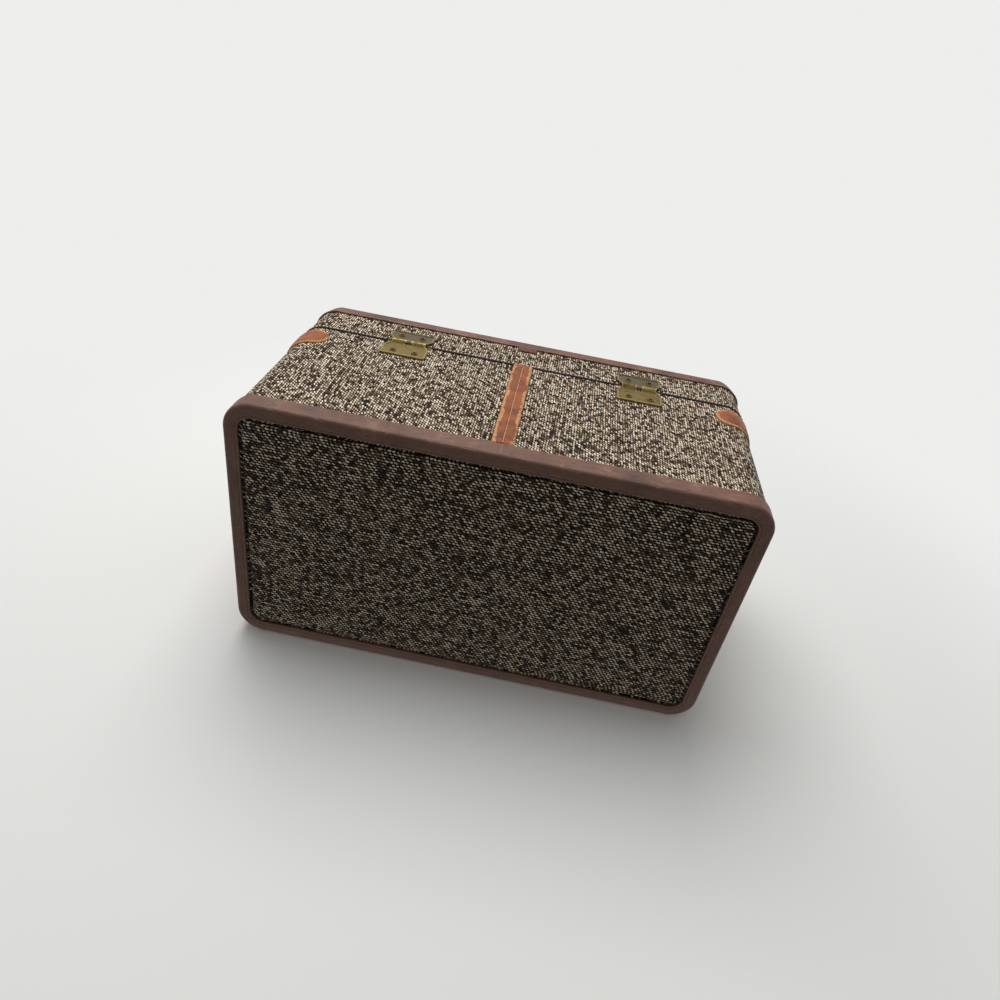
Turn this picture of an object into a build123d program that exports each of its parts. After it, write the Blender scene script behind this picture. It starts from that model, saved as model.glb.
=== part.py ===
"""Tweed cosmetic train case with a hinged lid, in millimetres.

The origin is the centre of the base. +X runs along the width, -Y is the front with the latches,
+Y is the back with the hinges, and +Z goes up through the lid. Left is -X.
"""

from build123d import *
from math import asin, cos, degrees, hypot, sin
import os

os.makedirs("parts", exist_ok=True)

# Case size over the bindings
CASE_W = 356.0
CASE_D = 200.0
CASE_H = 184.0
CORNER_R = 20.0
PARTING_Z = 137.5
PARTING_GAP = 1.2

# Layers of a wall, from outside to inside
BINDING_PROUD = 1.5
TWEED_T = 1.2
BOARD_T = 4.0
LINING_T = 2.5

# Leather binding along the bottom and the top edges
BOTTOM_BAND = 15.0
LID_BAND = 11.2
FLANGE_W = 10.0
FLANGE_T = 2.5
EDGE_ROLL = 2.8
BAND_LIP_R = 0.6
LIP_W = 1.3
GROOVE_W = 0.9
GROOVE_DEPTH = 0.8

# Tweed panels inside the bindings
PANEL_T = 2.0
PAD_GAP = 1.6
PAD_RISE = 1.1
PAD_ROUND = 0.9

# Cord along the lower edge of the lid
EDGE_CORD_H = 2.8
EDGE_CORD_PROUD = 0.7
EDGE_CORD_ROUND = 0.65

# Tongue round the mouth of the body, which the lid closes over
TONGUE_DROP = 30.0
TONGUE_RISE = 8.5
TONGUE_GAP = 0.5
TONGUE_ROUND = 0.8
LID_LINING_GAP = 1.5

# Leather trim on the walls
STRAP_W = 15.0
STRAP_T = 1.8
STRAP_EDGE = 0.6
STRAP_LINE_W = 0.8
STRAP_LINE_DEPTH = 0.4
LID_TAB_H = 7.0
LID_TAB_T = 1.3
TAB_H = 24.5
TAB_T = 1.8
TAB_BELOW_PARTING = 6.5
TAB_REACH = 28.0
TAB_EDGE = 0.5

# Stop hinges on the back
HINGE_X = 90.5
HINGE_W = 34.5
HINGE_BARREL_W = 26.0
HINGE_SHOULDER = 9.0
BODY_LEAF_H = 24.0
LID_LEAF_H = 20.0
LEAF_T = 1.4
LEAF_CORNER_R = 2.0
LEAF_EDGE = 0.3
LEAF_RIM_W = 1.3
LEAF_RIM_H = 0.5
NOTCH_DEPTH = 6.5
NOTCH_FLOOR_START = 3.0
NOTCH_FLOOR_T = 0.4
NOTCH_RIB_W = 0.7
NOTCH_RIB_PITCH = 1.8
MIDDLE_KNUCKLE_W = 5.0
KNUCKLE_R = 2.2
KNUCKLE_GAP = 0.25
KNUCKLE_ROOM = 0.7
HINGE_PIN_R = 1.1
RUNNING_GAP = 0.05
LEAF_NECK = 1.0
BODY_RIVET_DROP = 18.0
LID_RIVET_RISE = 11.0
HINGE_RIVET_PITCH = 16.5
RIVET_R = 1.6
RIVET_HEAD_R = 2.6
RIVET_HEAD_H = 0.9
RIVET_TAPER = 35
RIVET_DISH_R = 1.3
RIVET_DISH_DEPTH = 0.5
LID_RIVET_DISH_DEPTH = 1.2
PINHOLE_R = 0.6
PINHOLE_ASIDE = 3.6
PINHOLE_DROP = 9.2

# Latches on the front: a hasp on the lid drops into an open channel of the base
LATCH_X = 90.5
HASP_PLATE_W = 26.0
HASP_PLATE_H = 19.0
HASP_PLATE_RISE = 5.0
PLATE_T = 1.2
HASP_AXIS_RISE = 9.0
HASP_AXIS_PROUD = 3.6
HASP_BARREL_R = 2.2
HASP_EAR_R = 2.4
HASP_EAR_W = 4.5
HASP_SHOULDER = 0.2
HASP_PIN_R = 1.0
HASP_ARM_W = 12.0
HASP_ARM_T = 1.8
HASP_ARM_DROP = 17.0
HASP_LIP_R = 1.7
HASP_LIP_PROUD = 4.6
HASP_WINDOW_W = 5.0
HASP_WINDOW_H = 8.0
BASE_PLATE_W = 32.0
BASE_PLATE_H = 40.0
BASE_DROP = 4.0
HOUSING_W = 24.0
HOUSING_H = 30.0
HOUSING_DROP = 6.0
HOUSING_PROUD = 5.2
HOUSING_ROUND = 1.4
CHANNEL_GAP = 0.4
CHANNEL_FLOOR = 2.3
CHANNEL_END = 1.2
BUTTON_W = 7.0
BUTTON_H = 5.6
BUTTON_PROUD = 1.8
BUTTON_SEAT = 2.2
BUTTON_TRAVEL = 4.5
BUTTON_GAP = 0.3
BUTTON_DROP = 26.0
BUTTON_ROUND = 0.7
KEYHOLE_R = 1.4
KEYHOLE_SLOT_W = 1.4
KEYHOLE_SLOT_H = 3.2
KEYHOLE_DEPTH = 2.0
KEYHOLE_DROP = 31.4
SMALL_RIVET_R = 1.0
SMALL_RIVET_HEAD_R = 1.6
SMALL_RIVET_HEAD_H = 0.7
PLATE_RIVET_EDGE = 5.0

# Carrying handle on the lid
HANDLE_SPAN = 124.0
HANDLE_RISE = 46.0
GRIP_END_IN = 6.0
GRIP_END_UP = 17.0
GRIP_W = 17.0
GRIP_T = 13.0
GRIP_END_W = 11.0
GRIP_END_T = 9.0
GRIP_LIFT = 0.6
PIVOT_RISE = 6.0
EYE_R = 4.2
EYE_W = 7.0
SHANK_R = 2.4
FERRULE_R = 5.9
FERRULE_L = 5.0
HANDLE_PIN_R = 1.5
MOUNT_EAR_T = 2.2
MOUNT_EAR_R = 4.0
MOUNT_GAP = 0.3
MOUNT_PLATE_L = 26.0
MOUNT_PLATE_W = 18.0
MOUNT_PLATE_T = 1.5
MOUNT_RIVET_EDGE = 3.0
PIN_HEAD_R = 2.4
PIN_HEAD_T = 0.8

# Inside
TRAY_GAP = 1.5
TRAY_H = 42.0
TRAY_WALL = 3.0
TRAY_DROP = 2.9
TRAY_CORNER_R = 18.0
TRAY_RIM_ROUND = 1.2
TRAY_DIVIDER_X = 40.0
TRAY_DIVIDER_Y = 20.0
TRAY_PULL_W = 22.0
TRAY_PULL_T = 1.6
TRAY_PULL_H = 16.0
LEDGE_W = 8.0
LEDGE_H = 10.0
LEDGE_L = 120.0
LEDGE_GAP = 0.3
MIRROR_W = 236.0
MIRROR_D = 128.0
MIRROR_R = 12.0
MIRROR_T = 2.5
FRAME_W = 7.0
FRAME_T = 5.0
FRAME_ROUND = 1.6
FRAME_LIP = 2.0

# Where each layer lies, as its distance in from the outside of the binding
TWEED_IN = BINDING_PROUD
BOARD_IN = TWEED_IN + TWEED_T
LINING_IN = BOARD_IN + BOARD_T
ROOM_IN = LINING_IN + LINING_T
TRAY_IN = ROOM_IN + TRAY_GAP
WALL_Y = CASE_D / 2 - TWEED_IN

# Heights that the layers share
BODY_TOP = PARTING_Z - PARTING_GAP / 2
LID_BOTTOM = PARTING_Z + PARTING_GAP / 2
PANEL_BACK = FLANGE_T + PANEL_T
FLOOR_Z = PANEL_BACK + BOARD_T
TONGUE_BOTTOM = BODY_TOP - TONGUE_DROP
TONGUE_TOP = PARTING_Z + TONGUE_RISE
LID_TWEED_BOTTOM = LID_BOTTOM + EDGE_CORD_H
LID_BOARD_TOP = CASE_H - PANEL_BACK
LID_CEILING = LID_BOARD_TOP - BOARD_T
LID_FACE_Z = CASE_H - FLANGE_T + PAD_RISE
CEILING_LINING_Z = LID_CEILING - LINING_T

# Hinge and hasp axes
HINGE_AXIS_Y = WALL_Y + LEAF_T
HASP_AXIS_Z = PARTING_Z + HASP_AXIS_RISE
HASP_AXIS_Y = -(WALL_Y + HASP_AXIS_PROUD)
HASP_BARREL_W = HASP_ARM_W + 2 * HASP_SHOULDER
PIVOT_Z = LID_FACE_Z + PIVOT_RISE

# Rivets stand a set distance in from the ends of their plates
LATCH_RIVET_PITCH_X = (BASE_PLATE_W + HOUSING_W) / 2
LATCH_RIVET_PITCH_Z = BASE_PLATE_H - 2 * PLATE_RIVET_EDGE
HASP_RIVET_PITCH = HASP_PLATE_W - 2 * PLATE_RIVET_EDGE
MOUNT_RIVET_PITCH = MOUNT_PLATE_L - 2 * MOUNT_RIVET_EDGE

SIDES = (("left", -1), ("right", 1))
LID_DOWN = Plane(origin=(0, 0, CASE_H), x_dir=(1, 0, 0), z_dir=(0, 0, -1))


def write(piece, name):
    """Label a finished piece and write its file."""
    piece.part.label = name
    export_step(piece.part, f"parts/{name}.step")


def outline(inset, mode=Mode.ADD):
    """The case's plan, drawn in by inset from the outside of the binding."""
    RectangleRounded(CASE_W - 2 * inset, CASE_D - 2 * inset, CORNER_R - inset, mode=mode)


def ring(outer, inner):
    """The plan of one layer of the wall."""
    outline(outer)
    outline(inner, mode=Mode.SUBTRACT)


def across(x, y, z):
    """A plane square to X, with its own X along Y and its own Y along Z."""
    return Plane(origin=(x, y, z), x_dir=(0, 1, 0), z_dir=(1, 0, 0))


def on_back(x, z):
    """A plane on the back's tweed, facing out."""
    return Plane(origin=(x, WALL_Y, z), x_dir=(-1, 0, 0), z_dir=(0, 1, 0))


def on_front(x, z):
    """A plane on the front's tweed, facing out."""
    return Plane(origin=(x, -WALL_Y, z), x_dir=(1, 0, 0), z_dir=(0, -1, 0))


def out_of_wall(point):
    """How far a point beside a corner lies out from the tweed's face."""
    beyond_x = abs(point.X) - (CASE_W / 2 - CORNER_R)
    beyond_y = abs(point.Y) - (CASE_D / 2 - CORNER_R)
    if min(beyond_x, beyond_y) > 0:
        return hypot(beyond_x, beyond_y) - (CORNER_R - TWEED_IN)
    return max(beyond_x, beyond_y) - (CORNER_R - TWEED_IN)


def cut_knuckle_room():
    """Cut the groove that the hinge barrels turn in."""
    for _, side in SIDES:
        start = side * HINGE_X - HINGE_BARREL_W / 2 - KNUCKLE_ROOM
        with BuildSketch(across(start, HINGE_AXIS_Y, PARTING_Z)) as groove:
            Circle(KNUCKLE_R + KNUCKLE_ROOM)
        extrude(groove.sketch, amount=HINGE_BARREL_W + 2 * KNUCKLE_ROOM, mode=Mode.SUBTRACT)


def build_binding(base, band, edge_group):
    """A leather binding with a rolled edge, a flange on the face and a lip round its opening."""
    with BuildPart() as binding:
        with BuildSketch(base):
            outline(0)
        extrude(amount=band)
        fillet(binding.edges().group_by(Axis.Z)[edge_group], EDGE_ROLL)
        fillet(binding.edges().group_by(Axis.Z)[-1 - edge_group], BAND_LIP_R)
        with BuildSketch(base.offset(FLANGE_T)):
            outline(TWEED_IN)
        extrude(amount=band, mode=Mode.SUBTRACT)
        with BuildSketch(base):
            outline(FLANGE_W)
        extrude(amount=FLANGE_T, mode=Mode.SUBTRACT)
        with BuildSketch(base):
            ring(FLANGE_W - LIP_W - GROOVE_W, FLANGE_W - LIP_W)
        extrude(amount=GROOVE_DEPTH, mode=Mode.SUBTRACT)
    return binding


def build_panel(base, edge_group):
    """A tweed-covered board: a plate behind the flange and a padded face inside its opening."""
    with BuildPart() as panel:
        with BuildSketch(base.offset(FLANGE_T - PAD_RISE)):
            outline(FLANGE_W + PAD_GAP)
        extrude(amount=PAD_RISE)
        fillet(panel.edges().group_by(Axis.Z)[edge_group], PAD_ROUND)
        with BuildSketch(base.offset(FLANGE_T)):
            outline(TWEED_IN)
        extrude(amount=PANEL_T)
    return panel


# Body box
with BuildPart() as body_board:
    with BuildSketch(Plane.XY.offset(PANEL_BACK)):
        outline(BOARD_IN)
    extrude(amount=BODY_TOP - PANEL_BACK)
    with BuildSketch(Plane.XY.offset(FLOOR_Z)):
        outline(LINING_IN)
    extrude(amount=CASE_H, mode=Mode.SUBTRACT)
    cut_knuckle_room()
write(body_board, "body_board")

with BuildPart() as body_tweed:
    with BuildSketch(Plane.XY.offset(PANEL_BACK)):
        ring(TWEED_IN, BOARD_IN)
    extrude(amount=BODY_TOP - PANEL_BACK)
    cut_knuckle_room()
write(body_tweed, "body_tweed")

write(build_panel(Plane.XY, 0), "bottom_panel")
write(build_binding(Plane.XY, BOTTOM_BAND, 0), "bottom_binding")

with BuildPart() as body_lining:
    with BuildSketch(Plane.XY.offset(FLOOR_Z)):
        outline(LINING_IN)
    extrude(amount=TONGUE_BOTTOM - FLOOR_Z)
    with BuildSketch(Plane.XY.offset(FLOOR_Z + LINING_T)):
        outline(ROOM_IN)
    extrude(amount=CASE_H, mode=Mode.SUBTRACT)
write(body_lining, "body_lining")

with BuildPart() as mouth_tongue:
    with BuildSketch(Plane.XY.offset(TONGUE_BOTTOM)):
        outline(LINING_IN)
    extrude(amount=TONGUE_DROP)
    with BuildSketch(Plane.XY.offset(BODY_TOP)):
        outline(LINING_IN + TONGUE_GAP)
    extrude(amount=TONGUE_TOP - BODY_TOP)
    fillet(mouth_tongue.edges().group_by(Axis.Z)[-1], TONGUE_ROUND)
    with BuildSketch(Plane.XY.offset(TONGUE_BOTTOM)):
        outline(ROOM_IN)
    extrude(amount=CASE_H, mode=Mode.SUBTRACT)
write(mouth_tongue, "mouth_tongue")

# Lid box
with BuildPart() as lid_board:
    with BuildSketch(Plane.XY.offset(LID_BOTTOM)):
        ring(BOARD_IN, LINING_IN)
    extrude(amount=LID_CEILING - LID_BOTTOM)
    cut_knuckle_room()
write(lid_board, "lid_board")

with BuildPart() as lid_top_board:
    with BuildSketch(Plane.XY.offset(LID_CEILING)):
        outline(BOARD_IN)
    extrude(amount=BOARD_T)
write(lid_top_board, "lid_top_board")

with BuildPart() as lid_tweed:
    with BuildSketch(Plane.XY.offset(LID_TWEED_BOTTOM)):
        ring(TWEED_IN, BOARD_IN)
    extrude(amount=LID_BOARD_TOP - LID_TWEED_BOTTOM)
write(lid_tweed, "lid_tweed")

with BuildPart() as lid_edge_cord:
    with BuildSketch(Plane.XY.offset(LID_BOTTOM)):
        outline(TWEED_IN - EDGE_CORD_PROUD)
    extrude(amount=EDGE_CORD_H)
    fillet(lid_edge_cord.edges().group_by(Axis.Z)[0], EDGE_CORD_ROUND)
    fillet(lid_edge_cord.edges().group_by(Axis.Z)[-1], EDGE_CORD_ROUND)
    with BuildSketch(Plane.XY.offset(LID_BOTTOM)):
        outline(BOARD_IN)
    extrude(amount=EDGE_CORD_H, mode=Mode.SUBTRACT)
    for _, side in SIDES:
        with BuildSketch(on_back(side * HINGE_X, LID_BOTTOM).offset(-TWEED_T)):
            Rectangle(HINGE_W + 2 * KNUCKLE_ROOM, 2 * EDGE_CORD_H)
        extrude(amount=TWEED_T + 2 * EDGE_CORD_PROUD, mode=Mode.SUBTRACT)
write(lid_edge_cord, "lid_edge_cord")

write(build_panel(LID_DOWN, -1), "lid_panel")
write(build_binding(LID_DOWN, LID_BAND, -1), "lid_binding")

with BuildPart() as lid_lining:
    with BuildSketch(Plane.XY.offset(TONGUE_TOP + LID_LINING_GAP)):
        ring(LINING_IN, ROOM_IN)
    extrude(amount=CEILING_LINING_Z - TONGUE_TOP - LID_LINING_GAP)
write(lid_lining, "lid_lining")

with BuildPart() as lid_ceiling_lining:
    with BuildSketch(Plane.XY.offset(CEILING_LINING_Z)):
        outline(LINING_IN)
    extrude(amount=LINING_T)
write(lid_ceiling_lining, "lid_ceiling_lining")

# Mirror in the lid
with BuildPart() as mirror_frame:
    with BuildSketch(Plane.XY.offset(CEILING_LINING_Z - FRAME_T)):
        RectangleRounded(MIRROR_W, MIRROR_D, MIRROR_R)
    extrude(amount=FRAME_T)
    fillet(mirror_frame.edges().group_by(Axis.Z)[0], FRAME_ROUND)
    with BuildSketch(Plane.XY.offset(CEILING_LINING_Z - FRAME_T)):
        RectangleRounded(MIRROR_W - 2 * FRAME_W, MIRROR_D - 2 * FRAME_W, MIRROR_R - FRAME_W)
    extrude(amount=FRAME_T, mode=Mode.SUBTRACT)
    with BuildSketch(Plane.XY.offset(CEILING_LINING_Z - MIRROR_T)):
        Rectangle(MIRROR_W - 2 * FRAME_W + 2 * FRAME_LIP, MIRROR_D - 2 * FRAME_W + 2 * FRAME_LIP)
    extrude(amount=MIRROR_T, mode=Mode.SUBTRACT)
write(mirror_frame, "mirror_frame")

with BuildPart() as mirror_glass:
    with BuildSketch(Plane.XY.offset(CEILING_LINING_Z - MIRROR_T)):
        Rectangle(MIRROR_W - 2 * FRAME_W + 2 * FRAME_LIP, MIRROR_D - 2 * FRAME_W + 2 * FRAME_LIP)
    extrude(amount=MIRROR_T)
write(mirror_glass, "mirror_glass")

# Leather trim
with BuildPart() as back_strap:
    with BuildSketch(on_back(0, (BOTTOM_BAND + BODY_TOP) / 2)):
        Rectangle(STRAP_W, BODY_TOP - BOTTOM_BAND)
    extrude(amount=STRAP_T)
    fillet(back_strap.faces().sort_by(Axis.Y)[-1].edges(), STRAP_EDGE)
    with BuildSketch(on_back(0, (BOTTOM_BAND + BODY_TOP) / 2).offset(STRAP_T)):
        Rectangle(STRAP_LINE_W, BODY_TOP - BOTTOM_BAND)
    extrude(amount=-STRAP_LINE_DEPTH, mode=Mode.SUBTRACT)
write(back_strap, "back_strap")

with BuildPart() as lid_tab:
    with BuildSketch(on_back(0, CASE_H - LID_BAND - LID_TAB_H / 2)):
        Rectangle(STRAP_W, LID_TAB_H)
    extrude(amount=LID_TAB_T)
    fillet(lid_tab.faces().sort_by(Axis.Y)[-1].edges().sort_by(Axis.Z)[:-1], STRAP_EDGE)
write(lid_tab, "lid_tab")

tab_mid_z = PARTING_Z - TAB_BELOW_PARTING - TAB_H / 2
for side_name, side in SIDES:
    for face_name, face in (("front", -1), ("back", 1)):
        tab_arc_x = side * (CASE_W / 2 - TWEED_IN - TAB_REACH + TAB_H / 2)
        tab_arc_y = face * (CASE_D / 2 - TWEED_IN - TAB_REACH + TAB_H / 2)
        side_plane = Plane(origin=(tab_arc_x, 0, tab_mid_z), x_dir=(side, 0, 0), z_dir=(0, -side, 0))
        end_plane = Plane(origin=(0, tab_arc_y, tab_mid_z), x_dir=(0, face, 0), z_dir=(face, 0, 0))
        with BuildPart() as corner_tab:
            with BuildSketch(Plane.XY.offset(tab_mid_z - TAB_H / 2)):
                ring(TWEED_IN - TAB_T, TWEED_IN)
            extrude(amount=TAB_H)
            with BuildSketch(side_plane):
                Circle(TAB_H / 2)
                with Locations((TAB_H, 0)):
                    Rectangle(2 * TAB_H, TAB_H)
            extrude(amount=CASE_D, both=True, mode=Mode.INTERSECT)
            with BuildSketch(end_plane):
                Circle(TAB_H / 2)
                with Locations((TAB_H, 0)):
                    Rectangle(2 * TAB_H, TAB_H)
            extrude(amount=CASE_W, both=True, mode=Mode.INTERSECT)
            rim = corner_tab.edges().filter_by(lambda edge: out_of_wall(edge @ 0.5) > TAB_T - TAB_EDGE)
            chamfer(rim.filter_by(lambda edge: abs((edge @ 0.5).Z - tab_mid_z) > TAB_EDGE), TAB_EDGE)
        write(corner_tab, f"corner_tab_{face_name}_{side_name}")


def build_leaf(plane, start, shoulder, end):
    """A hinge leaf from its barrel, past its sloping shoulders, to its rounded end, with a raised rim."""
    far_end = 0 if end < start else -1
    with BuildPart() as leaf:
        with BuildSketch(plane) as face:
            with BuildLine():
                Polyline(
                    (-HINGE_BARREL_W / 2, start), (-HINGE_W / 2, shoulder), (-HINGE_W / 2, end),
                    (HINGE_W / 2, end), (HINGE_W / 2, shoulder), (HINGE_BARREL_W / 2, start),
                    close=True,
                )
            make_face()
            fillet(face.vertices().group_by(Axis.Y)[far_end], LEAF_CORNER_R)
        extrude(amount=LEAF_T)
        with BuildSketch(plane.offset(LEAF_T)):
            add(face.sketch_local)
            offset(amount=-LEAF_RIM_W, kind=Kind.INTERSECTION, mode=Mode.SUBTRACT)
        extrude(amount=LEAF_RIM_H)
        rim_edges = leaf.faces().sort_by(Axis.Y)[-1].outer_wire().edges().sort_by(Axis.Z)
        chamfer(rim_edges[:-1] if end < start else rim_edges[1:], LEAF_EDGE)
    return leaf.part


# Hinges: the body leaf has the two outer knuckles and the lid leaf the middle one
outer_knuckle_w = (HINGE_BARREL_W - MIDDLE_KNUCKLE_W) / 2 - KNUCKLE_GAP
knuckle_room_r = KNUCKLE_R + KNUCKLE_GAP
for side_name, side in SIDES:
    hinge_x = side * HINGE_X
    leaf_plane = on_back(hinge_x, PARTING_Z)
    with BuildPart() as body_leaf:
        add(build_leaf(leaf_plane, -LEAF_NECK, -HINGE_SHOULDER, -BODY_LEAF_H))
        for start in (-HINGE_BARREL_W / 2, MIDDLE_KNUCKLE_W / 2 + KNUCKLE_GAP):
            with BuildSketch(across(hinge_x + start, HINGE_AXIS_Y, PARTING_Z)):
                Circle(KNUCKLE_R)
            extrude(amount=outer_knuckle_w)
        with BuildSketch(leaf_plane):
            with Locations((0, -NOTCH_DEPTH / 2)):
                Rectangle(MIDDLE_KNUCKLE_W + 2 * KNUCKLE_GAP, NOTCH_DEPTH)
            with Locations((0, -BODY_RIVET_DROP)):
                with GridLocations(HINGE_RIVET_PITCH, 0, 2, 1):
                    Circle(RIVET_R)
            with Locations((PINHOLE_ASIDE, -PINHOLE_DROP)):
                Circle(PINHOLE_R)
        extrude(amount=LEAF_T + LEAF_RIM_H, mode=Mode.SUBTRACT)
        floor_h = NOTCH_DEPTH - NOTCH_FLOOR_START
        notch_floor = (MIDDLE_KNUCKLE_W + 2 * KNUCKLE_GAP, 0, 1, NOTCH_FLOOR_T)
        notch_ribs = (NOTCH_RIB_W, NOTCH_RIB_PITCH, 3, LEAF_T)
        for width, pitch, count, thickness in (notch_floor, notch_ribs):
            with BuildSketch(leaf_plane):
                with Locations((0, -NOTCH_DEPTH + floor_h / 2)):
                    with GridLocations(pitch, 0, count, 1):
                        Rectangle(width, floor_h)
            extrude(amount=thickness)
        with BuildSketch(across(hinge_x - HINGE_W / 2, HINGE_AXIS_Y, PARTING_Z)):
            Circle(HINGE_PIN_R + RUNNING_GAP)
        extrude(amount=HINGE_W, mode=Mode.SUBTRACT)
    write(body_leaf, f"hinge_body_leaf_{side_name}")

    with BuildPart() as lid_leaf:
        add(build_leaf(leaf_plane, knuckle_room_r, HINGE_SHOULDER, LID_LEAF_H))
        with BuildSketch(leaf_plane):
            with Locations((0, (LEAF_NECK + knuckle_room_r) / 2)):
                Rectangle(MIDDLE_KNUCKLE_W, knuckle_room_r - LEAF_NECK)
        extrude(amount=LEAF_T)
        with BuildSketch(across(hinge_x - MIDDLE_KNUCKLE_W / 2, HINGE_AXIS_Y, PARTING_Z)):
            Circle(KNUCKLE_R)
        extrude(amount=MIDDLE_KNUCKLE_W)
        with BuildSketch(leaf_plane):
            with Locations((0, LID_RIVET_RISE)):
                with GridLocations(HINGE_RIVET_PITCH, 0, 2, 1):
                    Circle(RIVET_R)
        extrude(amount=LEAF_T, mode=Mode.SUBTRACT)
        with BuildSketch(across(hinge_x - HINGE_W / 2, HINGE_AXIS_Y, PARTING_Z)):
            Circle(HINGE_PIN_R + RUNNING_GAP)
        extrude(amount=HINGE_W, mode=Mode.SUBTRACT)
    write(lid_leaf, f"hinge_lid_leaf_{side_name}")

    with BuildPart() as hinge_pin:
        with BuildSketch(across(hinge_x - HINGE_BARREL_W / 2, HINGE_AXIS_Y, PARTING_Z)):
            Circle(HINGE_PIN_R)
        extrude(amount=HINGE_BARREL_W)
    write(hinge_pin, f"hinge_pin_{side_name}")


def add_rivets(plane, pitch_x, pitch_y, counts, seat, shank_r, head_r, head_h):
    """Domed rivets whose shanks start on the plane and fill a plate as thick as seat."""
    with BuildSketch(plane) as shanks:
        with GridLocations(pitch_x, pitch_y, *counts):
            Circle(shank_r)
    extrude(shanks.sketch, amount=seat)
    with BuildSketch(plane.offset(seat)) as heads:
        with GridLocations(pitch_x, pitch_y, *counts):
            Circle(head_r)
    extrude(heads.sketch, amount=head_h, taper=RIVET_TAPER)


def dish_rivets(plane, depth):
    """Sink the round dish in the middle of each of two rivet heads."""
    with BuildSketch(plane) as dishes:
        with GridLocations(HINGE_RIVET_PITCH, 0, 2, 1):
            Circle(RIVET_DISH_R)
    extrude(dishes.sketch, amount=-depth, mode=Mode.SUBTRACT)


with BuildPart() as hinge_rivets_body:
    for _, side in SIDES:
        seat_plane = on_back(side * HINGE_X, PARTING_Z - BODY_RIVET_DROP)
        add_rivets(seat_plane, HINGE_RIVET_PITCH, 0, (2, 1), LEAF_T, RIVET_R, RIVET_HEAD_R, RIVET_HEAD_H)
        dish_rivets(seat_plane.offset(LEAF_T + RIVET_HEAD_H), RIVET_DISH_DEPTH)
write(hinge_rivets_body, "hinge_rivets_body")

with BuildPart() as hinge_rivets_lid:
    for _, side in SIDES:
        seat_plane = on_back(side * HINGE_X, PARTING_Z + LID_RIVET_RISE)
        add_rivets(seat_plane, HINGE_RIVET_PITCH, 0, (2, 1), LEAF_T, RIVET_R, RIVET_HEAD_R, RIVET_HEAD_H)
        dish_rivets(seat_plane.offset(LEAF_T + RIVET_HEAD_H), LID_RIVET_DISH_DEPTH)
write(hinge_rivets_lid, "hinge_rivets_lid")

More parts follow.
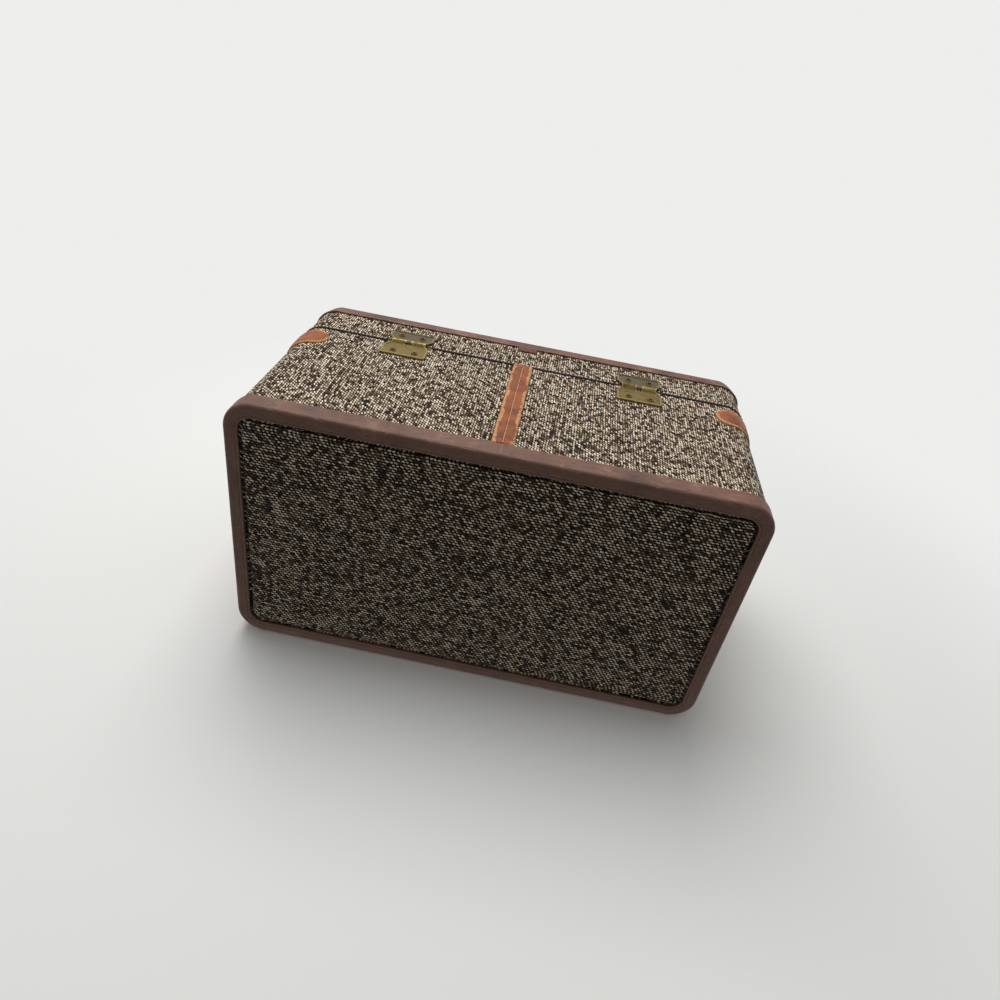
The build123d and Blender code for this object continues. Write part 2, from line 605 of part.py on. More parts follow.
# Latches
channel_w = HASP_ARM_W + 2 * CHANNEL_GAP
channel_bottom = HASP_ARM_DROP + HASP_LIP_R + CHANNEL_END
button_slot_w = BUTTON_W + BUTTON_TRAVEL + 2 * BUTTON_GAP
for side_name, side in SIDES:
    latch_x = side * LATCH_X
    front_plane = on_front(latch_x, PARTING_Z)
    with BuildPart() as latch_base:
        with BuildSketch(front_plane):
            with Locations((0, -BASE_DROP - BASE_PLATE_H / 2)):
                RectangleRounded(BASE_PLATE_W, BASE_PLATE_H, LEAF_CORNER_R)
        extrude(amount=PLATE_T)
        with BuildSketch(front_plane):
            with Locations((0, -HOUSING_DROP - HOUSING_H / 2)):
                RectangleRounded(HOUSING_W, HOUSING_H, LEAF_CORNER_R)
        extrude(amount=HOUSING_PROUD)
        fillet(latch_base.faces().sort_by(Axis.Y)[0].edges(), HOUSING_ROUND)
        with BuildSketch(front_plane.offset(CHANNEL_FLOOR)):
            with Locations((0, -channel_bottom / 2)):
                Rectangle(channel_w, channel_bottom)
        extrude(amount=HOUSING_PROUD, mode=Mode.SUBTRACT)
        with BuildSketch(front_plane.offset(HOUSING_PROUD)):
            with Locations((side * BUTTON_TRAVEL / 2, -BUTTON_DROP)):
                Rectangle(button_slot_w, BUTTON_H + 2 * BUTTON_GAP)
        extrude(amount=-BUTTON_SEAT, mode=Mode.SUBTRACT)
        with BuildSketch(front_plane.offset(HOUSING_PROUD)):
            with Locations((0, -KEYHOLE_DROP)):
                Circle(KEYHOLE_R)
            with Locations((0, -KEYHOLE_DROP - KEYHOLE_SLOT_H / 2)):
                Rectangle(KEYHOLE_SLOT_W, KEYHOLE_SLOT_H)
        extrude(amount=-KEYHOLE_DEPTH, mode=Mode.SUBTRACT)
        with BuildSketch(on_front(latch_x, PARTING_Z - BASE_DROP - BASE_PLATE_H / 2)):
            with GridLocations(LATCH_RIVET_PITCH_X, LATCH_RIVET_PITCH_Z, 2, 2):
                Circle(SMALL_RIVET_R)
        extrude(amount=PLATE_T, mode=Mode.SUBTRACT)
    write(latch_base, f"latch_base_{side_name}")

    with BuildPart() as latch_button:
        with BuildSketch(front_plane.offset(HOUSING_PROUD - BUTTON_SEAT + BUTTON_GAP)):
            with Locations((0, -BUTTON_DROP)):
                Rectangle(BUTTON_W, BUTTON_H)
        extrude(amount=BUTTON_SEAT - BUTTON_GAP + BUTTON_PROUD)
        fillet(latch_button.faces().sort_by(Axis.Y)[0].edges(), BUTTON_ROUND)
    write(latch_button, f"latch_button_{side_name}")

    with BuildPart() as hasp_plate:
        with BuildSketch(front_plane):
            with Locations((0, HASP_PLATE_RISE + HASP_PLATE_H / 2)):
                RectangleRounded(HASP_PLATE_W, HASP_PLATE_H, LEAF_CORNER_R)
        extrude(amount=PLATE_T)
        for start in (-HASP_BARREL_W / 2 - KNUCKLE_GAP - HASP_EAR_W, HASP_BARREL_W / 2 + KNUCKLE_GAP):
            with BuildSketch(across(latch_x + start, HASP_AXIS_Y, HASP_AXIS_Z)):
                Circle(HASP_EAR_R)
                with Locations((HASP_AXIS_PROUD / 2, 0)):
                    Rectangle(HASP_AXIS_PROUD, 2 * HASP_EAR_R)
            extrude(amount=HASP_EAR_W)
        with BuildSketch(across(latch_x - HASP_PLATE_W / 2, HASP_AXIS_Y, HASP_AXIS_Z)):
            Circle(HASP_PIN_R + RUNNING_GAP)
        extrude(amount=HASP_PLATE_W, mode=Mode.SUBTRACT)
        with BuildSketch(on_front(latch_x, PARTING_Z + HASP_PLATE_RISE + HASP_PLATE_H - HASP_EAR_W)):
            with GridLocations(HASP_RIVET_PITCH, 0, 2, 1):
                Circle(SMALL_RIVET_R)
        extrude(amount=PLATE_T, mode=Mode.SUBTRACT)
    write(hasp_plate, f"hasp_plate_{side_name}")

    with BuildPart() as hasp:
        with BuildSketch(across(latch_x - HASP_BARREL_W / 2, HASP_AXIS_Y, HASP_AXIS_Z)):
            Circle(HASP_BARREL_R)
        extrude(amount=HASP_BARREL_W)
        arm_h = HASP_AXIS_RISE + HASP_ARM_DROP
        with BuildSketch(front_plane.offset(HASP_AXIS_PROUD - HASP_ARM_T / 2)):
            with Locations((0, HASP_AXIS_RISE - arm_h / 2)):
                Rectangle(HASP_ARM_W, arm_h)
            with Locations((0, -HASP_WINDOW_H / 2)):
                RectangleRounded(HASP_WINDOW_W, HASP_WINDOW_H, 1, mode=Mode.SUBTRACT)
        extrude(amount=HASP_ARM_T)
        with BuildSketch(
            across(latch_x - HASP_ARM_W / 2, -(WALL_Y + HASP_LIP_PROUD), PARTING_Z - HASP_ARM_DROP)
        ):
            Circle(HASP_LIP_R)
        extrude(amount=HASP_ARM_W)
        with BuildSketch(across(latch_x - HASP_BARREL_W / 2, HASP_AXIS_Y, HASP_AXIS_Z)):
            Circle(HASP_PIN_R + RUNNING_GAP)
        extrude(amount=HASP_BARREL_W, mode=Mode.SUBTRACT)
    write(hasp, f"hasp_{side_name}")

    hasp_pin_w = HASP_BARREL_W + 2 * (KNUCKLE_GAP + HASP_EAR_W)
    with BuildPart() as hasp_pin:
        with BuildSketch(across(latch_x - hasp_pin_w / 2, HASP_AXIS_Y, HASP_AXIS_Z)):
            Circle(HASP_PIN_R)
        extrude(amount=hasp_pin_w)
    write(hasp_pin, f"hasp_pin_{side_name}")

with BuildPart() as latch_rivets:
    for _, side in SIDES:
        add_rivets(
            on_front(side * LATCH_X, PARTING_Z - BASE_DROP - BASE_PLATE_H / 2),
            LATCH_RIVET_PITCH_X, LATCH_RIVET_PITCH_Z, (2, 2),
            PLATE_T, SMALL_RIVET_R, SMALL_RIVET_HEAD_R, SMALL_RIVET_HEAD_H,
        )
write(latch_rivets, "latch_rivets")

with BuildPart() as hasp_rivets:
    for _, side in SIDES:
        add_rivets(
            on_front(side * LATCH_X, PARTING_Z + HASP_PLATE_RISE + HASP_PLATE_H - HASP_EAR_W),
            HASP_RIVET_PITCH, 0, (2, 1),
            PLATE_T, SMALL_RIVET_R, SMALL_RIVET_HEAD_R, SMALL_RIVET_HEAD_H,
        )
write(hasp_rivets, "hasp_rivets")

# Handle, folded forward on the lid
grip_z = LID_FACE_Z + GRIP_LIFT + GRIP_T / 2
fold = asin((grip_z - PIVOT_Z) / HANDLE_RISE)
handle_plane = Plane(origin=(0, 0, PIVOT_Z), x_dir=(1, 0, 0), z_dir=(0, -sin(fold), -cos(fold)))
grip_end_x = HANDLE_SPAN / 2 - GRIP_END_IN
print(f"handle fold above the lid: {degrees(fold):.3f} degrees, pivot at z = {PIVOT_Z:.3f}")

with BuildPart() as handle_grip:
    with BuildLine(handle_plane) as grip_line:
        ThreePointArc((-grip_end_x, GRIP_END_UP), (0, HANDLE_RISE), (grip_end_x, GRIP_END_UP))
    for share, width, thickness in (
        (0, GRIP_END_W, GRIP_END_T), (0.5, GRIP_W, GRIP_T), (1, GRIP_END_W, GRIP_END_T)
    ):
        along = grip_line.line % share
        with BuildSketch(Plane(origin=grip_line.line @ share, x_dir=handle_plane.z_dir, z_dir=along)):
            Ellipse(thickness / 2, width / 2)
    sweep(path=grip_line.line, multisection=True)
write(handle_grip, "handle_grip")

grip_start_dir = (grip_line.line % 0).normalized()
grip_end_dir = (grip_line.line % 1).normalized()
for side_name, side in SIDES:
    pivot_x = side * HANDLE_SPAN / 2
    end_point = grip_line.line @ (0 if side < 0 else 1)
    out_dir = -grip_start_dir if side < 0 else grip_end_dir
    with BuildPart() as handle_eye:
        with BuildSketch(Plane(origin=end_point, z_dir=out_dir)):
            Circle(FERRULE_R)
        extrude(amount=FERRULE_L)
        fillet(handle_eye.edges().filter_by(GeomType.CIRCLE), BUTTON_ROUND)
        eye_point = Vector(pivot_x, 0, PIVOT_Z)
        shank_start = end_point + out_dir * (FERRULE_L / 2)
        with BuildSketch(Plane(origin=shank_start, z_dir=eye_point - shank_start)):
            Circle(SHANK_R)
        extrude(amount=(eye_point - shank_start).length)
        with BuildSketch(across(pivot_x - EYE_W / 2, 0, PIVOT_Z)):
            Circle(EYE_R)
        extrude(amount=EYE_W)
        with BuildSketch(across(pivot_x - EYE_W, 0, PIVOT_Z)):
            Circle(HANDLE_PIN_R + RUNNING_GAP)
        extrude(amount=2 * EYE_W, mode=Mode.SUBTRACT)
    write(handle_eye, f"handle_eye_{side_name}")

    with BuildPart() as handle_mount:
        with BuildSketch(Plane(origin=(pivot_x, 0, LID_FACE_Z))):
            SlotOverall(MOUNT_PLATE_L, MOUNT_PLATE_W, rotation=90)
        extrude(amount=MOUNT_PLATE_T)
        for start in (-EYE_W / 2 - MOUNT_GAP - MOUNT_EAR_T, EYE_W / 2 + MOUNT_GAP):
            with BuildSketch(across(pivot_x + start, 0, PIVOT_Z)):
                Circle(MOUNT_EAR_R)
                with Locations((0, -PIVOT_RISE / 2)):
                    Rectangle(2 * MOUNT_EAR_R, PIVOT_RISE)
            extrude(amount=MOUNT_EAR_T)
        with BuildSketch(across(pivot_x - EYE_W, 0, PIVOT_Z)):
            Circle(HANDLE_PIN_R + RUNNING_GAP)
        extrude(amount=2 * EYE_W, mode=Mode.SUBTRACT)
        with BuildSketch(Plane(origin=(pivot_x, 0, LID_FACE_Z), x_dir=(0, 1, 0))):
            with GridLocations(MOUNT_RIVET_PITCH, 0, 2, 1):
                Circle(SMALL_RIVET_R)
        extrude(amount=MOUNT_PLATE_T, mode=Mode.SUBTRACT)
    write(handle_mount, f"handle_mount_{side_name}")

    pin_w = EYE_W + 2 * (MOUNT_GAP + MOUNT_EAR_T)
    with BuildPart() as handle_pin:
        with BuildSketch(across(pivot_x - pin_w / 2 - PIN_HEAD_T, 0, PIVOT_Z)):
            Circle(HANDLE_PIN_R)
        extrude(amount=pin_w + 2 * PIN_HEAD_T)
        for start in (-pin_w / 2 - PIN_HEAD_T, pin_w / 2):
            with BuildSketch(across(pivot_x + start, 0, PIVOT_Z)):
                Circle(PIN_HEAD_R)
            extrude(amount=PIN_HEAD_T)
    write(handle_pin, f"handle_pin_{side_name}")

with BuildPart() as handle_rivets:
    for _, side in SIDES:
        add_rivets(
            Plane(origin=(side * HANDLE_SPAN / 2, 0, LID_FACE_Z), x_dir=(0, 1, 0)),
            MOUNT_RIVET_PITCH, 0, (2, 1),
            MOUNT_PLATE_T, SMALL_RIVET_R, SMALL_RIVET_HEAD_R, SMALL_RIVET_HEAD_H,
        )
write(handle_rivets, "handle_rivets")

# Lift-out tray and the ledges that it rests on
tray_top_z = BODY_TOP - TRAY_DROP
tray_z = tray_top_z - TRAY_H
tray_w = CASE_W - 2 * TRAY_IN
tray_d = CASE_D - 2 * TRAY_IN
with BuildPart() as tray:
    with BuildSketch(Plane.XY.offset(tray_z)):
        RectangleRounded(tray_w, tray_d, TRAY_CORNER_R)
    extrude(amount=TRAY_H)
    with BuildSketch(Plane.XY.offset(tray_z + TRAY_WALL)):
        RectangleRounded(tray_w - 2 * TRAY_WALL, tray_d - 2 * TRAY_WALL, TRAY_CORNER_R - TRAY_WALL)
    extrude(amount=TRAY_H, mode=Mode.SUBTRACT)
    fillet(tray.edges().group_by(Axis.Z)[-1], TRAY_RIM_ROUND)
write(tray, "tray")

tray_room_w = tray_w - 2 * TRAY_WALL
tray_room_d = tray_d - 2 * TRAY_WALL
divider_h = TRAY_H - TRAY_WALL - 2 * TRAY_RIM_ROUND
with BuildPart() as tray_dividers:
    with BuildSketch(Plane.XY.offset(tray_z + TRAY_WALL)):
        with Locations((TRAY_DIVIDER_X, 0)):
            Rectangle(TRAY_WALL, tray_room_d)
        with Locations(((TRAY_DIVIDER_X + tray_room_w / 2) / 2, TRAY_DIVIDER_Y)):
            Rectangle(tray_room_w / 2 - TRAY_DIVIDER_X, TRAY_WALL)
    extrude(amount=divider_h)
write(tray_dividers, "tray_dividers")

for side_name, side in SIDES:
    pull_x = side * (tray_room_w / 2 - TRAY_PULL_T / 2)
    pull_z = tray_top_z - TRAY_PULL_H / 2 - 2 * TRAY_RIM_ROUND
    with BuildPart() as tray_pull:
        with BuildSketch(across(pull_x - TRAY_PULL_T / 2, 0, pull_z)):
            RectangleRounded(TRAY_PULL_W, TRAY_PULL_H, LEAF_CORNER_R)
        extrude(amount=TRAY_PULL_T)
    write(tray_pull, f"tray_pull_{side_name}")

    ledge_x = side * (CASE_W / 2 - ROOM_IN - LEDGE_W / 2)
    with BuildPart() as tray_ledge:
        with BuildSketch(Plane.XY.offset(tray_z - LEDGE_GAP - LEDGE_H)):
            with Locations((ledge_x, 0)):
                Rectangle(LEDGE_W, LEDGE_L)
        extrude(amount=LEDGE_H)
    write(tray_ledge, f"tray_ledge_{side_name}")
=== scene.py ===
"""Looks of the tweed train case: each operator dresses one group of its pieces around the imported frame."""

import math

import bpy
import numpy as np
from bpy.props import FloatProperty, FloatVectorProperty, PointerProperty
from bpy.types import Operator, Panel, PropertyGroup
from mathutils import Matrix, Vector


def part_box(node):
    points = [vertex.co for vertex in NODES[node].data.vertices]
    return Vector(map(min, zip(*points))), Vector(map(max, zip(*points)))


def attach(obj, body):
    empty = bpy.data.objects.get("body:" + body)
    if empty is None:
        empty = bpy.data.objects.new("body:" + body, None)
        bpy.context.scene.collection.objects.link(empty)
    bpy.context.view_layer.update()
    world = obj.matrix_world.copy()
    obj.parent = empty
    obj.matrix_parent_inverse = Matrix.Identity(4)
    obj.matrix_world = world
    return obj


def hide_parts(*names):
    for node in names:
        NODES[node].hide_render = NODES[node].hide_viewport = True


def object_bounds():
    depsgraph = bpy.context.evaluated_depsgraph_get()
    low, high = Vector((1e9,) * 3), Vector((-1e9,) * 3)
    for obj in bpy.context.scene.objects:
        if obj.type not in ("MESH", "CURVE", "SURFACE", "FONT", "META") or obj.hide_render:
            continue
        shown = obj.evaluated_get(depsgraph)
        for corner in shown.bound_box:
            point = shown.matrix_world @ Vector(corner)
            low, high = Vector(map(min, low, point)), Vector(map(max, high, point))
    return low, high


bl_info = {
    "name": "Tweed Train Case",
    "version": (1, 0, 0),
    "blender": (4, 5, 0),
    "location": "View3D > Sidebar > Case",
    "description": "Dresses the frame of a tweed train case with cloth, leather, brass and lining",
    "category": "Object",
}

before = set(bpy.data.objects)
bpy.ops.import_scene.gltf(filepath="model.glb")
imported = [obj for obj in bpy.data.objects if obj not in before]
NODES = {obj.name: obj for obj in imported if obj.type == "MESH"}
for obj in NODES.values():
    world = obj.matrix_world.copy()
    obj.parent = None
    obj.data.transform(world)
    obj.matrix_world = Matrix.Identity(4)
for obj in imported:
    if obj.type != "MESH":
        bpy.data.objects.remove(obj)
CAD_LOW, CAD_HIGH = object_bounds()
MM = 0.001
SIDES = ("left", "right")
UP = np.array([0.0, 0.0, 1.0])


def shade(red, green, blue):
    """A colour as a screen shows it, from 0 to 255, turned into the linear numbers that shaders take."""
    shares = (red / 255, green / 255, blue / 255)
    return tuple(c / 12.92 if c <= 0.04045 else ((c + 0.055) / 1.055) ** 2.4 for c in shares)


def colour_property(name, description, colour):
    return FloatVectorProperty(
        name=name, description=description, default=shade(*colour), size=3, min=0, max=1, subtype="COLOR"
    )


def length_property(name, description, millimetres):
    return FloatProperty(
        name=name, description=description, default=millimetres * MM, min=0, precision=5, unit="LENGTH"
    )


class ClothSettings(PropertyGroup):
    """The tweed on the walls and panels."""

    corner_radius: length_property("Corner radius", "Radius of the wall's corners at the tweed's face", 18.5)
    wall_step: length_property("Wall step", "Distance along a wall between two upright lines of knots", 1.75)
    wall_row: length_property("Wall row", "Half the distance up a wall between two knots", 1.35)
    panel_step: length_property("Panel step", "Half the distance between two knots along a panel", 1.5)
    panel_row: length_property("Panel row", "Distance between two rows of knots on a panel", 2.0)
    relief: length_property("Relief", "Height of the woven relief", 0.2)
    thickness: length_property("Thickness", "Thickness of the cloth on the wall", 1.2)
    crown: length_property("Crown", "How much the padded panels rise in the middle", 0.7)
    edge_roll: length_property("Edge roll", "How far in the padded panels start to roll down", 2.6)
    panel_inset: length_property("Panel inset", "From the wall's tweed to the pad's edge", 10.1)
    plate_depth: length_property("Plate depth", "From the pad's face to the plate behind it", 1.1)
    # Painted shade: the deeper shadow between the yarns of the bottom panel.
    tarnish_and_gap_shade: colour_property("Painted shade", "Dirt between the yarns of the bottom", (10, 7, 5))
    gap: colour_property("Gap", "Shadow between the yarns", (28, 20, 15))
    dark_yarn: colour_property("Dark yarn", "Darkest yarn", (66, 50, 39))
    brown_yarn: colour_property("Brown yarn", "Middle brown yarn", (132, 111, 91))
    beige_yarn: colour_property("Beige yarn", "Beige yarn", (200, 178, 152))
    cream_yarn: colour_property("Cream yarn", "Lightest yarn", (246, 230, 206))


class LeatherSettings(PropertyGroup):
    """The dark binding and the tan trim."""

    brown: colour_property("Brown", "Binding", (113, 78, 64))
    # The dark brown also paints the shade on the underside of the bottom binding.
    brown_dark: colour_property("Dark brown", "Creases and soil of the binding", (58, 39, 32))
    # The worn brown also paints the highlight along the bindings' rolled edges.
    brown_worn_and_highlight: colour_property("Worn brown", "Rubbed places of the binding", (160, 126, 106))
    red_brown: colour_property("Red brown", "Small tab on the lid", (112, 58, 36))
    tan: colour_property("Tan", "Strap, corner tabs and handle", (150, 80, 34))
    tan_dark: colour_property("Dark tan", "Soiled places of the tan leather", (106, 54, 28))
    tan_worn: colour_property("Worn tan", "Scuffed edges of the tan leather", (208, 156, 112))
    thread: colour_property("Thread", "Sewing thread", (226, 190, 138))
    flange_width: length_property("Flange width", "Width of the leather flange on the panel's side", 10.0)
    flange_thickness: length_property("Flange thickness", "Thickness of the leather flange", 2.5)
    roll: length_property("Roll", "Radius of the bindings' long edge", 2.8)
    lean: length_property("Lean", "How far the lid's binding leans in at its corners", 2.2)
    tab_thickness: length_property("Tab thickness", "Thickness of the corner tabs", 1.8)
    seam_inset: length_property("Seam inset", "From a leather edge to its row of stitches", 2.2)
    strap_width: length_property("Strap width", "Width of the strap on the back", 15.0)


class MetalSettings(PropertyGroup):
    """The fittings."""

    brass: colour_property("Brass", "Aged brass", (122, 104, 58))
    brass_bright: colour_property("Bright brass", "Rubbed edges", (184, 170, 122))
    patina: colour_property("Patina", "Tarnish in the brass", (70, 56, 34))
    steel: colour_property("Dull plate", "Lid leaves of the hinges", (96, 84, 66))


class StageSettings(PropertyGroup):
    """Camera, lamps and floor."""

    lens: FloatProperty(
        name="Lens", description="Focal length on a 36 mm sensor", default=25.806, unit="CAMERA"
    )
    backdrop: colour_property("Backdrop", "Floor and background", (238, 238, 236))
    fill: FloatProperty(name="Fill", description="World light from the sides and above", default=0.5, min=0)
    low_fill: FloatProperty(name="Low fill", description="World light from below", default=0.31, min=0)


class Value:
    """An output socket that varies over a surface, with arithmetic that adds Math nodes."""

    def __init__(self, shading, socket):
        self.shading = shading
        self.socket = socket

    def __add__(self, other):
        return self.shading.math("ADD", self, other)

    def __sub__(self, other):
        return self.shading.math("SUBTRACT", self, other)

    def __rsub__(self, other):
        return self.shading.math("SUBTRACT", other, self)

    def __mul__(self, other):
        return self.shading.math("MULTIPLY", self, other)

    def __abs__(self):
        return self.shading.math("ABSOLUTE", self)

    __radd__ = __add__
    __rmul__ = __mul__

    def floor(self):
        return self.shading.math("FLOOR", self)

    def fraction(self):
        return self.shading.math("FRACT", self)

    def most(self, other):
        return self.shading.math("MAXIMUM", self, other)

    def smooth(self, low, high):
        """0 below low, 1 above high, and an even ease between them."""
        inputs = {"Value": self, "From Min": low, "From Max": high}
        return self.shading.node("ShaderNodeMapRange", {"interpolation_type": "SMOOTHSTEP"}, inputs)


class Shading:
    """A tree of nodes in front of one shader."""

    def __init__(self, tree, shader):
        self.tree = tree
        self.shader = shader

    def surface(self, **sockets):
        for name, value in sockets.items():
            self.feed(self.shader.inputs[name], value)
        return self

    def feed(self, socket, value):
        if isinstance(value, Value):
            self.tree.links.new(value.socket, socket)
        elif socket.type == "RGBA":
            socket.default_value = (*value, 1)
        else:
            socket.default_value = value

    def node(self, kind, settings, inputs, output=0):
        """Add a node: its settings first, then the values or links of its sockets. Returns one output."""
        node = self.tree.nodes.new(kind)
        for name, value in settings.items():
            if name == "stops":
                for element, (place, colour) in zip(self.ramp_elements(node, len(value)), value):
                    element.position = place
                    element.color = (*colour, 1)
            else:
                setattr(node, name, value)
        pairs = inputs.items() if isinstance(inputs, dict) else enumerate(inputs)
        for key, value in pairs:
            self.feed(node.inputs[key], value)
        return Value(self, node.outputs[output])

    def ramp_elements(self, node, count):
        elements = node.color_ramp.elements
        while len(elements) < count:
            elements.new(1)
        return elements

    def math(self, operation, *inputs):
        return self.node("ShaderNodeMath", {"operation": operation}, inputs)

    def place(self):
        """The point's place in the case, in metres."""
        return self.node("ShaderNodeTexCoord", {}, (), "Object")

    def cloth(self):
        """The point's place on the cloth, in metres."""
        return self.node("ShaderNodeUVMap", {"uv_map": "Cloth"}, ())

    def split(self, vector):
        first = self.node("ShaderNodeSeparateXYZ", {}, (vector,))
        return self.others(first)

    def others(self, value):
        """All outputs of the node that gave this value."""
        return [Value(self, socket) for socket in value.socket.node.outputs]

    def middling(self, vector, scale, detail=2.0):
        """Noise about zero."""
        return self.noise(vector, scale, detail) - 0.5

    def join(self, x, y, z=0.0):
        return self.node("ShaderNodeCombineXYZ", {}, (x, y, z))

    def stretch(self, vector, scale):
        return self.node("ShaderNodeVectorMath", {"operation": "MULTIPLY"}, (vector, scale))

    def noise(self, vector, scale, detail=2.0, roughness=0.5):
        inputs = {"Vector": vector, "Scale": scale, "Detail": detail, "Roughness": roughness}
        return self.node("ShaderNodeTexNoise", {}, inputs)

    def cells(self, vector, scale):
        """Distance from the middle of the nearest of many small uneven cells."""
        return self.node("ShaderNodeTexVoronoi", {}, {"Vector": vector, "Scale": scale})

    def chance(self, vector):
        return self.node("ShaderNodeTexWhiteNoise", {}, (vector,))

    def ramp(self, value, stops):
        return self.node("ShaderNodeValToRGB", {"stops": stops}, (value,))

    def mix(self, share, first, second, blend="MIX"):
        return self.node(
            "ShaderNodeMix", {"data_type": "RGBA", "blend_type": blend}, {0: share, 6: first, 7: second}, 2
        )

    def bump(self, height, distance):
        return self.node("ShaderNodeBump", {}, {"Height": height, "Distance": distance, "Strength": 1.0})

    def edges(self, radius):
        """1 on the edges of a piece and 0 on its flat faces."""
        softened = self.node("ShaderNodeBevel", {"samples": 6}, {"Radius": radius})
        true = self.node("ShaderNodeNewGeometry", {}, (), "Normal")
        same = self.node("ShaderNodeVectorMath", {"operation": "DOT_PRODUCT"}, (softened, true), "Value")
        flat, sharp = 0.004, 0.12
        return (1 - same).smooth(flat, sharp)


class Finish(Shading):
    """One material."""

    def __init__(self, name, colour, roughness, **constants):
        self.material = bpy.data.materials.new(name)
        self.material.use_nodes = True
        self.material.diffuse_color = (*colour, 1)
        tree = self.material.node_tree
        super().__init__(tree, tree.nodes["Principled BSDF"])
        self.surface(**{"Base Color": colour, "Roughness": roughness, **constants})


FINISHES = {}


def finish_of(name):
    """The material of that name, made on its first use."""
    if name not in FINISHES:
        FINISHES[name] = FINISH_MAKERS[name](bpy.context.scene).material
    return FINISHES[name]


def dress(name, *nodes):
    """Give CAD nodes a finish."""
    for node in nodes:
        materials = NODES[node].data.materials
        materials.clear()
        materials.append(finish_of(name))


def tweed_finish(scene):
    cloth = scene.train_case_cloth
    return woven_finish("tweed", cloth, cloth.gap, cloth.dark_yarn, 4.4, 6.4, 0.07)


def shaded_tweed_finish(scene):
    """The tweed on the bottom: a copy with thinner, slightly lighter yarns and painted deeper shade between
    them.
    """
    cloth = scene.train_case_cloth
    return woven_finish("shaded_tweed", cloth, cloth.tarnish_and_gap_shade, cloth.dark_yarn, 5.6, 11.5, 0.12)


def woven_finish(name, cloth, gap, dark_yarn, shortness, thinness, yarn_lightening):
    """Yarns on the knots of the woven mesh, whose cloth coordinates count its columns and rows."""
    finish = Finish(name, cloth.beige_yarn, 0.95, **{"Sheen Weight": 0.05, "Specular IOR Level": 0.12})
    place = finish.place()
    u, v, _ = finish.split(finish.cloth())
    # The yarns wander off their lines and have ragged edges.
    ragged = finish.middling(place, 1100)
    u = u + finish.middling(place, 95, 1.0) * 1.2 + ragged * 0.9
    v = v + finish.middling(finish.stretch(place, (1.3, 1.2, 1.4)), 88, 1.0) * 0.8 + ragged * 0.5
    # The knots stand on every second column, one column further on in every second row.
    row = (v + 0.5).floor()
    column = u * 0.5 + (row * 0.5).fraction()
    knot = finish.join(column.floor(), row)
    x = column.fraction() - 0.5
    y = v - row
    twist, unevenness = 0.35, 0.7
    slant = y + x * twist
    size = finish.chance(finish.stretch(knot, (1.7, 1.3, 1.0)))
    weft = 1 - x * x * shortness - slant * slant * thinness + (size - 0.5) * unevenness
    rib = 0.5 - abs(x)
    warp_thinness, warp_shortness = 26, 4.5
    warp = 1 - rib * rib * warp_thinness - y * y * warp_shortness
    cluster = finish.middling(finish.stretch(place, (1.0, 1.0, 0.6)), 400, 1.0)
    weft_colour = finish.ramp(finish.chance(knot) + cluster * 0.8 + yarn_lightening, (
        (0.02, gap), (0.16, dark_yarn), (0.36, cloth.brown_yarn), (0.6, cloth.beige_yarn),
        (0.92, cloth.cream_yarn),
    ))
    below = finish.mix(warp.smooth(0.1, 0.75) * size * 0.5, gap, dark_yarn)
    colour = finish.mix(weft.smooth(0.06, 0.3), below, weft_colour)
    fibre = finish.noise(place, 2300, 2.0)
    colour = finish.mix((fibre - 0.4) * 0.7, colour, gap)
    height = weft.most(warp * 0.55).most(0.0)
    return finish.surface(**{"Base Color": colour, "Normal": finish.bump(height + fibre * 0.3, 0.0003)})


def leather_bump(finish, place, creases, depth):
    """Fine grain under longer creases."""
    grain = finish.cells(place, 1100)
    return finish.bump(grain * 0.35 + creases, depth)


def creases_of(finish, place, stretch, scale):
    """Thin dark lines where stretched noise crosses its middle."""
    wave = finish.noise(finish.stretch(place, stretch), scale, 3.0, 0.55)
    crease_width = 0.09
    return 1 - abs(wave * 2 - 1).smooth(0.0, crease_width)


def brown_leather_finish(scene):
    """The bindings, with streaks along them; their cloth coordinates run along and across the band."""
    leather = scene.train_case_leather
    finish = Finish("brown_leather", leather.brown, 0.55, **{"Specular IOR Level": 0.3})
    place = finish.place()
    along = finish.cloth()
    creases = creases_of(finish, along, (0.5, 1.5, 1.0), 75)
    streaks = finish.noise(finish.stretch(along, (0.55, 1.4, 1.0)), 260, 3.0, 0.6)
    mottle = finish.noise(place, 42, 4.0, 0.6)
    blotch = finish.noise(place, 13, 2.0)
    # Streaks and mottle are rubbed wear; the edges term is a painted highlight along the rolled edges.
    rubbed = (streaks * 0.35 + mottle * 0.65 + finish.edges(0.0022) * 0.45).smooth(0.5, 0.72)
    # Painted shade: the underside of the bottom binding, within a few millimetres of the floor, turns half
    # way to dark brown.
    _, _, height = finish.split(place)
    floor_level, clear_of_floor = 0.0004, 0.0025
    underside_painted_shade = 1 - height.smooth(floor_level, clear_of_floor)
    base = finish.mix((mottle * 0.6 + blotch * 0.4).smooth(0.22, 0.54), leather.brown_dark, leather.brown)
    worn = finish.mix(rubbed * 0.75, base, leather.brown_worn_and_highlight)
    colour = finish.mix((creases * 0.35).most(underside_painted_shade * 0.5), worn, leather.brown_dark)
    rough = 0.48 + mottle * 0.2 - creases * 0.1
    return finish.surface(**{
        "Base Color": colour, "Roughness": rough,
        "Normal": leather_bump(finish, place, streaks * 0.2 - creases * 0.6, 0.0003),
    })


def tan_leather_finish(scene):
    return tan_leather(scene, "tan_leather")


def edged_leather_finish(scene):
    """Tan leather whose first cloth coordinate is the distance in from its cut edge."""
    return tan_leather(scene, "edged_leather")


